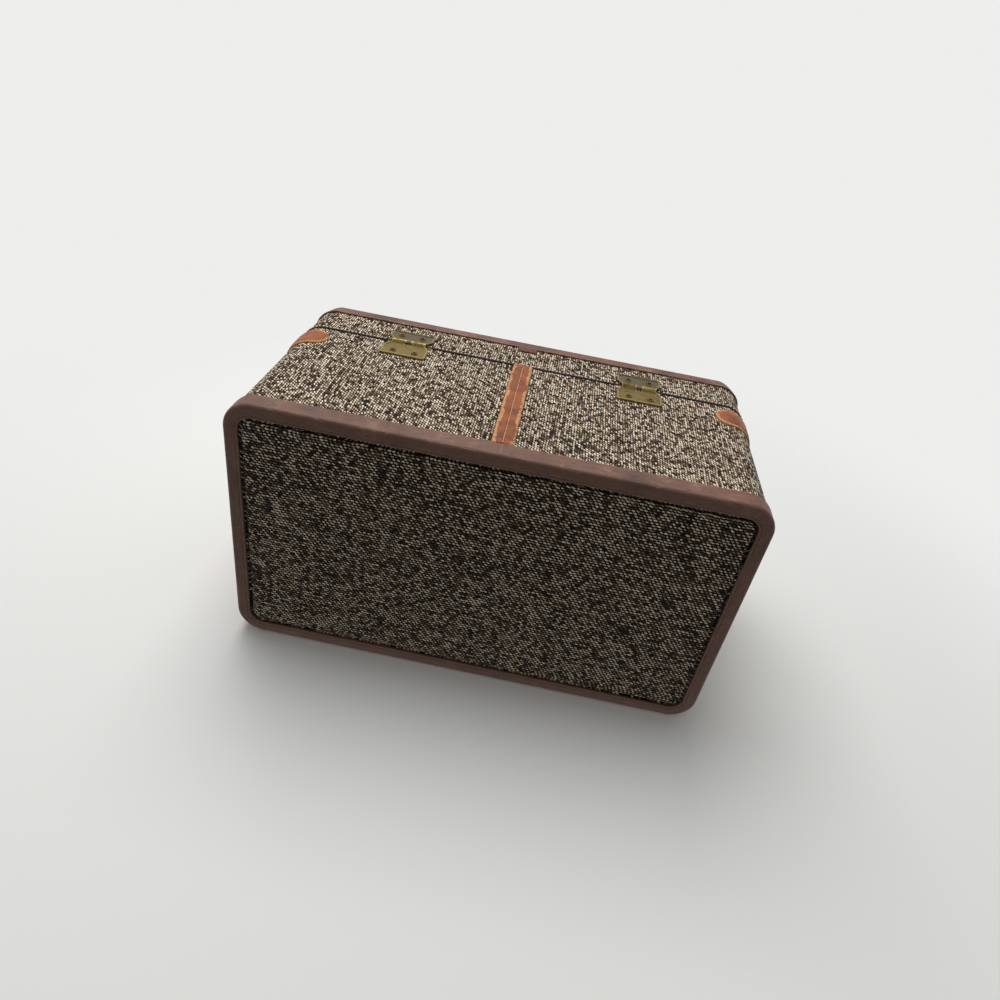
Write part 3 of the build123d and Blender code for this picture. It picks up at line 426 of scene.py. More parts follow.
def tan_leather(scene, name):
    leather = scene.train_case_leather
    finish = Finish(name, leather.tan, 0.5, **{"Specular IOR Level": 0.22})
    place = finish.place()
    creases = creases_of(finish, place, (1.0, 1.0, 1.0), 150)
    soil = finish.noise(place, 85, 4.0, 0.62)
    flakes = finish.noise(place, 420, 4.0, 0.62)
    spots = finish.noise(place, 75, 2.0)
    base = finish.mix(soil.smooth(0.34, 0.6), leather.tan_dark, leather.tan)
    if name == "edged_leather":
        depth, _, _ = finish.split(finish.cloth())
        border = 1 - (depth + flakes * 0.0008).smooth(0.0016, 0.0026)
        base = finish.mix(border * 0.55, base, leather.tan_dark)
        near = 1 - (depth + (spots - 0.5) * 0.009).smooth(0.0008, 0.0034)
        rubbed = (near * 0.34 + flakes * 0.75 + spots * 0.25).smooth(0.68, 0.74)
    else:
        rubbed = (finish.edges(0.0024) * 0.3 + flakes * 0.7 + spots * 0.3).smooth(0.72, 0.84)
    worn = finish.mix(rubbed * 0.85, base, leather.tan_worn)
    colour = finish.mix(creases * 0.35, worn, leather.tan_dark)
    return finish.surface(**{
        "Base Color": colour, "Roughness": 0.45 + rubbed * 0.35,
        "Normal": leather_bump(finish, place, 0 - creases * 0.5 - rubbed * 0.5, 0.00022),
    })


def red_leather_finish(scene):
    leather = scene.train_case_leather
    finish = Finish("red_leather", leather.red_brown, 0.6, **{"Specular IOR Level": 0.3})
    place = finish.place()
    soil = finish.noise(place, 300, 4.0, 0.6)
    return finish.surface(**{
        "Base Color": finish.mix(soil.smooth(0.35, 0.65), leather.brown_dark, leather.red_brown),
        "Normal": leather_bump(finish, place, soil, 0.0002),
    })


def metal_finish(scene, name, base, tarnish, bright, spread):
    finish = Finish(name, base, 0.4, Metallic=1.0)
    place = finish.place()
    spots = finish.noise(place, 240, 4.0, 0.65)
    stain = finish.noise(place, 70, 3.0, 0.6)
    scratch = finish.noise(finish.stretch(place, (0.3, 1.0, 3.5)), 900, 2.0)
    tarnish_and_gap_shade = (spots * 0.6 + stain * 0.6).smooth(0.5, 0.5 + spread)
    colour = finish.mix(tarnish_and_gap_shade * 0.8, base, tarnish)
    colour = finish.mix(finish.edges(0.0007), colour, bright)
    return finish.surface(**{
        "Base Color": colour, "Roughness": 0.3 + tarnish_and_gap_shade * 0.3 + scratch * 0.12,
        "Normal": finish.bump(spots * 0.6 + scratch * 0.4, 0.00006),
    })


def brass_finish(scene):
    metal = scene.train_case_metal
    return metal_finish(scene, "brass", metal.brass, metal.patina, metal.brass_bright, 0.3)


def dull_plate_finish(scene):
    metal = scene.train_case_metal
    return metal_finish(scene, "dull_plate", metal.steel, metal.patina, metal.brass_bright, 0.4)


def fixing_finish(scene):
    metal = scene.train_case_metal
    return metal_finish(scene, "fixing", metal.patina, metal.patina, metal.brass, 0.4)


def thread_finish(scene):
    thread = scene.train_case_leather.thread
    soiled_thread = shade(178, 140, 98)
    finish = Finish("thread", thread, 0.8, **{"Sheen Weight": 0.1})
    place = finish.place()
    strands = finish.noise(finish.stretch(place, (1.0, 1.0, 0.5)), 3000, 2.0)
    colour = finish.mix(finish.noise(place, 300, 2.0).smooth(0.3, 0.7), soiled_thread, thread)
    return finish.surface(**{"Base Color": colour, "Normal": finish.bump(strands, 0.0001)})


def whip_finish(scene):
    cloth = scene.train_case_cloth
    finish = Finish("whip", cloth.cream_yarn, 0.85, **{"Sheen Weight": 0.1})
    place = finish.place()
    colour = finish.mix(finish.noise(place, 330, 3.0).smooth(0.35, 0.7), cloth.beige_yarn, cloth.cream_yarn)
    strands = finish.noise(place, 2500, 2.0)
    return finish.surface(**{"Base Color": colour, "Normal": finish.bump(strands, 0.0001)})


def dark_cord_and_shadow_finish(scene):
    # The cord is dark, and its near-black colour also paints the shadow of the parting line below the
    # whipping.
    finish = Finish("cord", shade(30, 21, 17), 0.85)
    place = finish.place()
    return finish.surface(**{
        "Base Color": finish.mix(finish.noise(place, 500, 2.0), shade(14, 10, 8), shade(46, 33, 26)),
        "Normal": finish.bump(finish.noise(place, 1500, 2.0), 0.0002),
    })


def board_finish(scene):
    finish = Finish("board", shade(176, 144, 106), 0.75)
    place = finish.place()
    plies = finish.noise(finish.stretch(place, (0.2, 0.2, 6.0)), 90, 3.0)
    fibres = finish.noise(finish.stretch(place, (0.3, 0.3, 1.0)), 700, 3.0)
    grain = (plies * 0.7 + fibres * 0.4).smooth(0.35, 0.75)
    colour = finish.mix(grain, shade(132, 98, 66), shade(190, 158, 120))
    return finish.surface(**{"Base Color": colour, "Normal": finish.bump(fibres, 0.0002)})


def lining_finish(scene):
    """A woven satin with a watered pattern."""
    finish = Finish("lining", shade(178, 152, 112), 0.55, **{"Sheen Weight": 0.25})
    place = finish.place()
    sway = finish.noise(place, 14, 3.0, 0.6)
    x, y, z = finish.split(place)
    rib = finish.math("SINE", (x + y + z + sway * 0.012) * 2600)
    water = finish.noise(finish.stretch(place, (1.0, 1.0, 0.35)), 60, 4.0, 0.7).smooth(0.36, 0.66)
    colour = finish.mix(water, shade(168, 141, 101), shade(192, 168, 128))
    colour = finish.mix((rib * 0.5 + 0.5) * 0.25, colour, shade(120, 96, 64))
    return finish.surface(**{
        "Base Color": colour, "Roughness": 0.62 - water * 0.2, "Normal": finish.bump(rib, 0.00006),
    })


def mirror_finish(scene):
    silver, spotted = shade(226, 230, 230), shade(150, 146, 132)
    finish = Finish("mirror", silver, 0.03, Metallic=1.0)
    place = finish.place()
    spots = finish.noise(place, 60, 5.0, 0.7).smooth(0.7, 0.8)
    colour = finish.mix(spots * 0.5, silver, spotted)
    return finish.surface(**{"Base Color": colour, "Roughness": 0.02 + spots * 0.25})


FINISH_MAKERS = {
    "tweed": tweed_finish,
    "shaded_tweed": shaded_tweed_finish,
    "brown_leather": brown_leather_finish,
    "tan_leather": tan_leather_finish,
    "edged_leather": edged_leather_finish,
    "red_leather": red_leather_finish,
    "brass": brass_finish,
    "dull_plate": dull_plate_finish,
    "fixing": fixing_finish,
    "thread": thread_finish,
    "whip": whip_finish,
    "cord": dark_cord_and_shadow_finish,
    "board": board_finish,
    "lining": lining_finish,
    "mirror": mirror_finish,
}


class Plan:
    """The case's plan at one depth, walked anticlockwise by length from the middle of the back."""

    def __init__(self, half_x, half_y, radius):
        self.radius = radius
        quarter = math.pi / 2 * radius
        half_back, side = half_x - radius, 2 * (half_y - radius)
        self.stretches = []
        place = np.array([0.0, half_y])
        facing = math.pi / 2
        for length, bends in (
            (half_back, False), (quarter, True), (side, False), (quarter, True), (2 * half_back, False),
            (quarter, True), (side, False), (quarter, True), (half_back, False),
        ):
            self.stretches.append((length, place, facing, bends))
            if bends:
                place = place + radius * (self.toward(facing + math.pi / 2) - self.toward(facing))
                facing += math.pi / 2
            else:
                place = place + length * self.toward(facing + math.pi / 2)
        self.length = sum(stretch[0] for stretch in self.stretches)

    @staticmethod
    def toward(angle):
        return np.array([math.cos(angle), math.sin(angle)])

    def walk(self, along):
        """Points and outward directions at those lengths along the plan."""
        along = np.asarray(along, float) % self.length
        points, outward = np.zeros((len(along), 2)), np.zeros((len(along), 2))
        start = 0.0
        for length, place, facing, bends in self.stretches:
            here = (along >= start) & (along <= start + length)
            run = along[here] - start
            angle = facing + (run / self.radius if bends else 0 * run)
            outward[here] = np.stack([np.cos(angle), np.sin(angle)], 1)
            if bends:
                points[here] = place - self.radius * self.toward(facing) + self.radius * outward[here]
            else:
                points[here] = place + run[:, None] * self.toward(facing + math.pi / 2)
            start += length
        return points, outward


def new_piece(name, points, loops, counts, finish, body, uv=None):
    """A mesh from its points, the corners of its faces and the number of corners of each face."""
    mesh = bpy.data.meshes.new(name)
    mesh.vertices.add(len(points))
    mesh.vertices.foreach_set("co", np.asarray(points, np.float32).ravel())
    mesh.loops.add(len(loops))
    mesh.loops.foreach_set("vertex_index", np.asarray(loops, np.int32))
    mesh.polygons.add(len(counts))
    mesh.polygons.foreach_set("loop_start", np.r_[0, np.cumsum(counts)[:-1]].astype(np.int32))
    mesh.polygons.foreach_set("use_smooth", np.ones(len(counts), bool))
    mesh.update(calc_edges=True)
    if uv is not None:
        layer = mesh.uv_layers.new(name="Cloth")
        layer.data.foreach_set("uv", np.asarray(uv, np.float32).ravel())
    if mesh.validate(verbose=False):
        raise RuntimeError(f"the mesh of {name} has faults")
    piece = bpy.data.objects.new(name, mesh)
    bpy.context.scene.collection.objects.link(piece)
    mesh.materials.append(finish_of(finish))
    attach(piece, body)
    return piece


def quads(rows, columns, close_rows, close_columns):
    """Corners of the faces of a grid whose point (column, row) has the number column * rows + row."""
    face_columns = columns if close_columns else columns - 1
    face_rows = rows if close_rows else rows - 1
    i, j = np.meshgrid(np.arange(face_columns), np.arange(face_rows), indexing="ij")
    i, j = i.ravel(), j.ravel()
    i_next, j_next = (i + 1) % columns, (j + 1) % rows
    return np.stack([i * rows + j, i_next * rows + j, i_next * rows + j_next, i * rows + j_next], 1)


def band_piece(
    name, plan, profile, columns, finish, body, shape, bend=None, extra_columns=(), woven_uv=False
):
    """A closed band round the case.

    profile is a loop of (inset, height) points that goes up on the outside. shape gets the lengths along
    the plan with the insets and heights of all points, and bend gets the points.
    """
    along = np.arange(columns) * plan.length / columns
    along = np.union1d(along, np.asarray(extra_columns) % plan.length)
    places, outward = plan.walk(along)
    profile = np.asarray(profile, float)
    rows, columns = len(profile), len(along)
    inset, height = shape(along, *(np.tile(side, (columns, 1)) for side in profile.T))
    points = places[:, None, :] - outward[:, None, :] * inset[..., None]
    points = np.concatenate([points, height[..., None]], 2)
    if bend is not None:
        points = bend(points)
    faces = quads(rows, columns, True, True)
    column, row = faces // rows, faces % rows
    wrapped = (column == 0) & (column[:, :1] == columns - 1)
    if woven_uv:
        uv = np.stack([row, np.where(wrapped, columns, column)], 2)
    else:
        run = np.r_[0, np.cumsum(np.hypot(*np.diff(profile, axis=0).T))]
        uv = np.stack([np.where(wrapped, plan.length, along[column]), run[row]], 2)
    points, uv, counts = points.reshape(-1, 3), uv.reshape(-1, 2), np.full(len(faces), 4)
    return new_piece(name, points, faces.ravel(), counts, finish, body, uv)


def woven(columns, rows, height, seed):
    """A relief in which each knot stands over its four neighbours, with yarns of uneven thickness."""
    random = np.random.default_rng(seed)
    i, j = np.meshgrid(np.arange(columns), np.arange(rows), indexing="ij")
    over = ((i + j) % 2) * 2.0 - 1
    thickness = random.uniform(0.5, 1.0, (columns, rows))
    unevenness = random.uniform(-0.2, 0.2, (columns, rows))
    return height * (0.5 * over * thickness + unevenness)


def waves(along, length, shortest, longest, seed):
    """An uneven wave of about -1 to 1 along a loop of that length."""
    random = np.random.default_rng(seed)
    parts = 14
    turns = random.uniform(length / longest, length / shortest, parts).round()
    total = np.zeros_like(along, float)
    for turn, phase in zip(turns, random.uniform(0, 2 * math.pi, parts)):
        total += np.sin(2 * math.pi * turn * along / length + phase)
    return total / math.sqrt(2 * parts)


def eased(value, low, high):
    share = np.clip((value - low) / (high - low), 0, 1)
    return share * share * (3 - 2 * share)


def dip(distance, width):
    """1 at no distance, and almost 0 from twice the width on."""
    return np.exp(-((distance / width) ** 2))


def rounded(depth, reach):
    """The height of a quarter-round rim: 0 at its edge and 1 from that reach on."""
    return np.sqrt(1 - (1 - np.clip(depth / reach, 0, 1)) ** 2)


def wall_plan(cloth):
    """The plan of the tweed's face."""
    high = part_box("body_tweed")[1]
    return Plan(high.x, high.y, cloth.corner_radius)


class CASE_OT_tweed_walls(Operator):
    """Cover the walls of the body and of the lid with woven tweed"""

    bl_idname = "case.tweed_walls"
    bl_label = "Tweed Walls"

    def execute(self, context):
        cloth = context.scene.train_case_cloth
        under_binding = 3 * MM
        body_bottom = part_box("bottom_binding")[1].z - under_binding
        lid_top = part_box("lid_binding")[0].z + under_binding
        self.wall("tweed_walls", "body_tweed", "case", cloth, body_bottom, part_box("body_tweed")[1].z, 3)
        self.wall("tweed_lid_walls", "lid_tweed", "lid", cloth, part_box("lid_tweed")[0].z, lid_top, 4)
        return {"FINISHED"}

    def wall(self, name, node, body, cloth, bottom, top, seed):
        plan = wall_plan(cloth)
        rows = round((top - bottom) / cloth.wall_row)
        outside = [(0.0, z) for z in np.linspace(bottom, top, rows)]
        profile = outside + [(cloth.thickness, top), (cloth.thickness, bottom)]
        columns = 2 * round(plan.length / cloth.wall_step / 2)

        def relief(along, inset, height):
            inset[:, :rows] -= woven(len(along), rows, cloth.relief, seed)
            return inset, height

        piece = band_piece(
            name, plan, profile, columns, "tweed", body, relief, bend=clear_of_barrels, woven_uv=True
        )
        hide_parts(node)


def clear_of_barrels(points):
    """Move the cloth out of the groove that each hinge barrel turns in."""
    room = 0.7 * MM
    for side in SIDES:
        low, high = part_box(f"hinge_pin_{side}")
        middle = (low + high) / 2
        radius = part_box(f"hinge_lid_leaf_{side}")[1].y - middle.y + room
        near = (points[..., 0] > low.x - room) & (points[..., 0] < high.x + room)
        away = points[..., 1:] - np.array([middle.y, middle.z])
        distance = np.hypot(away[..., 0], away[..., 1])
        inside = near & (distance < radius)
        points[..., 1:][inside] += away[inside] * ((radius / distance[inside]) - 1)[:, None]
    return points


class CASE_OT_tweed_panels(Operator):
    """Cover the bottom and the top with padded tweed panels"""

    bl_idname = "case.tweed_panels"
    bl_label = "Tweed Panels"

    def execute(self, context):
        cloth = context.scene.train_case_cloth
        for name, node, finish, body, facing, seed in (
            # The bottom panel gets the copy of the tweed with painted deeper shade between its yarns.
            ("tweed_bottom", "bottom_panel", "shaded_tweed", "case", -1, 5),
            ("tweed_top", "lid_panel", "tweed", "lid", 1, 6),
        ):
            piece = self.panel(name, node, finish, body, facing, seed, cloth)
            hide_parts(node)
        return {"FINISHED"}

    def grid(self, columns, rows, half_x, half_y, radius):
        """A grid that fills a plate with round corners, and how far in from its edge each point is."""
        across = np.linspace(-half_y, half_y, rows)
        past_corner = np.clip(np.abs(across) - (half_y - radius), 0, None)
        reach = half_x - radius + np.sqrt(radius**2 - past_corner**2)
        x = np.linspace(-1, 1, columns)[:, None] * reach[None, :]
        y = np.repeat(across[None, :], columns, 0)
        beyond_x, beyond_y = np.abs(x) - (half_x - radius), np.abs(y) - (half_y - radius)
        outside = np.hypot(np.clip(beyond_x, 0, None), np.clip(beyond_y, 0, None))
        depth = radius - outside - np.clip(np.maximum(beyond_x, beyond_y), None, 0)
        return x, y, depth

    def panel(self, name, node, finish, body, facing, seed, cloth):
        low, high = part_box(node)
        face, back = (high.z, low.z) if facing > 0 else (low.z, high.z)
        half_x, half_y = high.x - cloth.panel_inset, high.y - cloth.panel_inset
        columns, rows = round(2 * half_x / cloth.panel_step), round(2 * half_y / cloth.panel_row)
        x, y, depth = self.grid(columns, rows, half_x, half_y, cloth.corner_radius - cloth.panel_inset)
        turn = np.clip(1 - depth / cloth.edge_roll, 0, 1)
        middle = np.cos(x / half_x * math.pi / 2) * np.cos(y / half_y * math.pi / 2)
        rise = cloth.crown * middle + woven(columns, rows, cloth.relief, seed) * (1 - turn)
        drop = cloth.plate_depth * (1 - np.sqrt(1 - turn**2))
        z = face + facing * (rise - drop)
        points = np.stack([x, y, z], 2).reshape(-1, 3)
        knots = np.meshgrid(facing * np.arange(columns), np.arange(rows), indexing="ij")
        knots = np.stack(knots, 2).reshape(-1, 2)
        faces = quads(rows, columns, False, False)[:, :: facing]
        edge = np.r_[
            np.arange(rows), (np.arange(1, columns) + 1) * rows - 1,
            (columns - 1) * rows + np.arange(rows - 2, -1, -1), np.arange(columns - 2, 0, -1) * rows,
        ]
        rim = points[edge]
        skirt_z = face - facing * cloth.plate_depth
        under_flange = 4 * MM
        loops, extra = [edge], []
        for spread, height in ((0.0, skirt_z), (under_flange, skirt_z), (under_flange, back)):
            scale = np.array([(half_x + spread) / half_x, (half_y + spread) / half_y])
            loops.append(len(points) + len(rim) * len(extra) + np.arange(len(rim)))
            extra.append(np.c_[rim[:, :2] * scale, np.full(len(rim), height)])
        points = np.r_[points, *extra]
        knots = np.r_[knots, np.tile(knots[edge], (len(extra), 1))]
        sides = [
            np.stack([upper, np.roll(upper, -1), np.roll(lower, -1), lower], 1)[:, :: facing]
            for upper, lower in zip(loops, loops[1:])
        ]
        corners = np.r_[faces.ravel(), *[side.ravel() for side in sides], loops[-1][:: facing]]
        counts = np.r_[np.full(len(faces) + sum(len(side) for side in sides), 4), len(loops[-1])]
        return new_piece(name, points, corners, counts, finish, body, knots[corners])


class CASE_OT_bindings(Operator):
    """Wrap the bottom and the top edges in creased leather"""

    bl_idname = "case.bindings"
    bl_label = "Leather Bindings"

    column_width = 1.5 * MM
    crease_inset, crease_width, crease_depth = 2.3 * MM, 0.45 * MM, 0.35 * MM
    dent, wrinkle = 0.09 * MM, 0.05 * MM
    seam_width, seam_depth = 0.4 * MM, 0.5 * MM

    def execute(self, context):
        leather = context.scene.train_case_leather
        corner = context.scene.train_case_cloth.corner_radius
        self.binding("bottom_band", "bottom_binding", "case", -1, 0.0, leather, corner, 21)
        self.binding("top_band", "lid_binding", "lid", 1, leather.lean, leather, corner, 31)
        return {"FINISHED"}

    def binding(self, name, node, body, facing, lean, leather, corner, seed):
        low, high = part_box(node)
        thickness = high.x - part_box("body_tweed")[1].x
        plan = Plan(high.x, high.y, corner + thickness)
        band = high.z - low.z
        face = low.z if facing < 0 else high.z
        depths = self.profile(band, thickness, leather)
        crease = band - self.crease_inset

        def shape(along, inset, depth):
            _, outward = plan.walk(along)
            bends = (2 * np.abs(outward[:, 0] * outward[:, 1]))[:, None]
            slow, quick, fine = (
                waves(along, plan.length, shortest * MM, longest * MM, seed + count)[:, None]
                for count, (shortest, longest) in enumerate(((40, 160), (9, 40), (3, 9)))
            )
            outside = (inset < thickness * 0.5) & (depth > leather.roll)
            flange = (depth < leather.flange_thickness * 0.5) & (inset > leather.roll)
            furrow = dip(depth - crease, self.crease_width) * eased(slow, -0.2, 0.5)
            dents = quick * self.dent + fine * self.wrinkle
            changed = inset + outside * (dents + furrow * self.crease_depth)
            changed += lean * bends * (1 - np.clip(depth / band, 0, 1)) * (1 - inset / leather.flange_width)
            brink = eased(depth, band - 2 * MM, band)
            deeper = depth + brink * (slow * 0.25 + fine * 0.12) * MM
            deeper += flange * (np.abs(quick) * 0.1 + 0.04 * fine) * MM
            from_seam = np.minimum(along, plan.length - along)[:, None]
            seam = dip(from_seam, self.seam_width) * self.seam_depth
            changed += seam * outside
            deeper += seam * flange
            return changed, face - facing * deeper

        by_seam = np.linspace(-1.2, 1.2, 9) * MM
        columns = round(plan.length / self.column_width)
        profile = depths if facing < 0 else depths[::-1]
        piece = band_piece(
            name, plan, profile, columns, "brown_leather", body, shape, extra_columns=by_seam
        )
        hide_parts(node)

    def profile(self, band, thickness, leather):
        """(inset, depth) points from the lip over the flange and the rolled edge to the band's brink."""
        width, deep, roll = leather.flange_width, leather.flange_thickness, leather.roll
        lip_and_groove = (
            (0, 0.5), (0.25, 0.12), (0.65, 0), (1.05, 0.1), (1.3, 0.5), (1.5, 0.85), (1.9, 0.85),
            (2.15, 0.4), (2.5, 0.06),
        )
        lip = [(width - away * MM, depth * MM) for away, depth in lip_and_groove]
        flat = [(inset, 0.0) for inset in np.linspace(width - 3 * MM, roll, 5, endpoint=False)]
        turn = np.linspace(0, math.pi / 2, 7)
        rolled = [(roll * (1 - math.sin(angle)), roll * (1 - math.cos(angle))) for angle in turn]
        row = 0.6 * MM
        outside = [(0.0, depth) for depth in np.arange(roll + row, band - 0.8 * MM, row)]
        brink = [
            (0.05 * MM, band - 0.45 * MM), (0.25 * MM, band - 0.12 * MM), (0.6 * MM, band),
            (thickness - 0.3 * MM, band - 0.05 * MM), (thickness, band - 0.4 * MM),
        ]
        return [(width, deep)] + lip + flat + rolled + outside + brink + [(thickness, deep)]


def grain_points(segments, rings, bluntness=0.6):
    """A small rounded grain of unit size, with its faces."""
    points, faces = [(0.0, 0.0, -0.5)], []
    for ring in range(1, rings):
        polar = math.pi * ring / rings
        radius = 0.5 * math.sin(polar) ** bluntness
        for segment in range(segments):
            angle = 2 * math.pi * segment / segments
            points.append((radius * math.cos(angle), radius * math.sin(angle), -0.5 * math.cos(polar)))
    points.append((0.0, 0.0, 0.5))
    last = len(points) - 1
    for segment in range(segments):
        after = (segment + 1) % segments
        faces.append((0, 1 + after, 1 + segment))
        faces.append((last, last - segments + segment, last - segments + after))
        for ring in range(rings - 2):
            base = 1 + ring * segments
            faces.append((base + segment, base + after, base + segments + after, base + segments + segment))
    return np.array(points), faces


def stitches(name, places, along, outward, size, finish, body):
    """Sewn stitches as one piece: grains of (width, height, length) that lie along and face outward."""
    grain, faces = grain_points(8, 6)
    along = along / np.linalg.norm(along, axis=1)[:, None]
    across = np.cross(outward, along)
    across = across / np.linalg.norm(across, axis=1)[:, None]
    up = np.cross(along, across)
    width, height, length = size
    points = (
        places[:, None, :]
        + grain[None, :, 0, None] * width * across[:, None, :]
        + grain[None, :, 1, None] * height * up[:, None, :]
        + grain[None, :, 2, None] * length * along[:, None, :]
    )
    loops = np.concatenate([np.array(f) for f in faces])
    counts = np.array([len(f) for f in faces])
    shift = np.repeat(np.arange(len(places)) * len(grain), len(loops))
    loops, counts = np.tile(loops, len(places)) + shift, np.tile(counts, len(places))
    return new_piece(name, points.reshape(-1, 3), loops, counts, finish, body)


def on_wall(plan, along, heights, proud):
    """Places, forward and outward directions on the wall."""
    points, outward = plan.walk(along)
    outward = np.c_[outward, np.zeros(len(points))]
    places = np.c_[points, heights] + outward * proud
    return places, np.cross(UP, outward), outward


class CASE_OT_edge_cord(Operator):
    """Whip the cord along the lid's lower edge"""

    bl_idname = "case.edge_cord"
    bl_label = "Edge Cord"

    pitch = 2.9 * MM
    stitch = (1.5 * MM, 1.4 * MM, 1.7 * MM)
    # The stitches sit above the cord's middle, so its near-black lower half stands for the parting line's
    # shadow.
    rise = 0.5 * MM
    sunk = 0.1 * MM
    lean = 0.45
    room_by_hinge = 1.5 * MM

    def execute(self, context):
        dress("cord", "lid_edge_cord")
        low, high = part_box("lid_edge_cord")
        plan = wall_plan(context.scene.train_case_cloth)
        along = np.linspace(0, plan.length, round(plan.length / self.pitch), endpoint=False)
        random = np.random.default_rng(8)
        along = along + random.uniform(-0.2, 0.2, len(along)) * MM
        middle = (low.z + high.z) / 2 + self.rise
        heights = middle + random.uniform(-0.12, 0.12, len(along)) * MM
        proud = high.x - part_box("body_tweed")[1].x - self.sunk
        places, forward, outward = on_wall(plan, along, heights, proud)
        clear = np.ones(len(along), bool)
        for side in SIDES:
            leaf_low, leaf_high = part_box(f"hinge_lid_leaf_{side}")
            before = places[:, 0] < leaf_low.x - self.room_by_hinge
            after = places[:, 0] > leaf_high.x + self.room_by_hinge
            clear &= (places[:, 1] < 0) | before | after
        places, slope, outward = (rows[clear] for rows in (places, UP + forward * self.lean, outward))
        stitches("edge_whip", places, slope, outward, self.stitch, "whip", "lid")
        return {"FINISHED"}


def oval(straight, round_steps, straight_steps):
    """Cores and outward directions of points round a flat-sided oval, anticlockwise from its lower right."""
    turn = np.linspace(-math.pi / 2, math.pi / 2, round_steps, endpoint=False)
    run = np.linspace(straight, -straight, straight_steps, endpoint=False)
    up = np.full(straight_steps, math.pi / 2)
    core = np.r_[np.full(round_steps, straight), run, np.full(round_steps, -straight), -run]
    angle = np.r_[turn, up, turn + math.pi, up + math.pi]
    return core, np.cos(angle), np.sin(angle)


class CASE_OT_corner_tabs(Operator):
    """Sew the padded leather tabs round the corners"""

    bl_idname = "case.corner_tabs"
    bl_label = "Corner Tabs"

    round_steps = 22
    straight_steps = 20

    def execute(self, context):
        leather = context.scene.train_case_leather
        plan = wall_plan(context.scene.train_case_cloth)
        middles, start = [], 0.0
        for length, _, _, bends in plan.stretches:
            if bends:
                middles.append(start + length / 2)
            start += length
        corners = ("back_left", "front_left", "front_right", "back_right")
        for seed, (corner, middle) in enumerate(zip(corners, middles)):
            self.tab(corner, plan, middle, leather, seed)
        return {"FINISHED"}

    def tab(self, corner, plan, middle, leather, seed):
        low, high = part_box(f"corner_tab_{corner}")
        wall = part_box("body_tweed")[1]
        quarter = math.pi / 2 * plan.radius
        reach = wall.x - plan.radius - min(abs(low.x), abs(high.x)) + quarter / 2
        radius = (high.z - low.z) / 2
        straight = reach - radius
        core, across, upward = oval(straight, self.round_steps, self.straight_steps)
        height = (low.z + high.z) / 2
        depths = np.array([0, 0.1, 0.35, 0.8, 1.4, 1.8, 2.2, 2.6, 3.1, 4.2, 6.0, 8.0, 10.0]) * MM
        rim, pad = 0.8 * MM, 0.5 * MM
        seam_width, seam_depth = 0.4 * MM, 0.5 * MM
        rise = (leather.tab_thickness - pad) * rounded(depths, rim)
        rise += pad * eased(depths, leather.seam_inset, leather.seam_inset + 3 * MM)
        rise -= seam_depth * dip(depths - leather.seam_inset, seam_width)
        size = len(core)
        wobble_reach = 4 * MM
        wobble = waves(np.arange(size), size, 6, 24, 40 + seed) * 0.18 * MM
        rings = []
        for depth, proud in zip(depths, rise):
            away = radius - depth + wobble * eased(-depth, -wobble_reach, 0)
            places, _, _ = on_wall(plan, middle + core + across * away, height + upward * away, proud)
            rings.append(places)
        count = len(depths)
        points = np.stack(rings, 1).reshape(-1, 3)
        faces = quads(count, size, False, True)
        numbers = np.arange(size) * count
        under = [face[::-1] for face in self.filling(numbers)]
        corners = [*faces, *self.filling(numbers + count - 1), *under]
        loops = np.concatenate(corners)
        counts = [len(face) for face in corners]
        uv = np.stack([depths[loops % count], (loops // count) * 1.5 * MM], 1)
        piece = new_piece(f"tab_{corner}", points, loops, counts, "edged_leather", "case", uv)
        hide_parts(f"corner_tab_{corner}")
        seam_radius = radius - leather.seam_inset
        self.seam(f"tab_stitches_{corner}", plan, middle, straight, seam_radius, height, leather)

    def filling(self, ring):
        """Faces across the inside of an oval ring: its two round ends, and strips between its long sides."""
        ends, run = self.round_steps, self.straight_steps
        top = ring[ends : ends + run + 1]
        bottom = np.r_[ring[0], ring[:-run - 1 : -1]]
        strips = np.stack([top[:-1], top[1:], bottom[1:], bottom[:-1]], 1)
        return [ring[: ends + 1], ring[ends + run : 2 * ends + run + 1], *strips]

    def seam(self, name, plan, middle, straight, radius, height, leather):
        pitch, size = 3.1 * MM, (0.6 * MM, 0.6 * MM, 2.3 * MM)
        core, across, upward = oval(straight, round(math.pi * radius / pitch), round(2 * straight / pitch))
        proud = leather.tab_thickness - 0.75 * MM
        lengths, heights = middle + core + across * radius, height + upward * radius
        places, forward, outward = on_wall(plan, lengths, heights, proud)
        along = across[:, None] * UP - upward[:, None] * forward
        stitches(name, places, along, outward, size, "thread", "case")


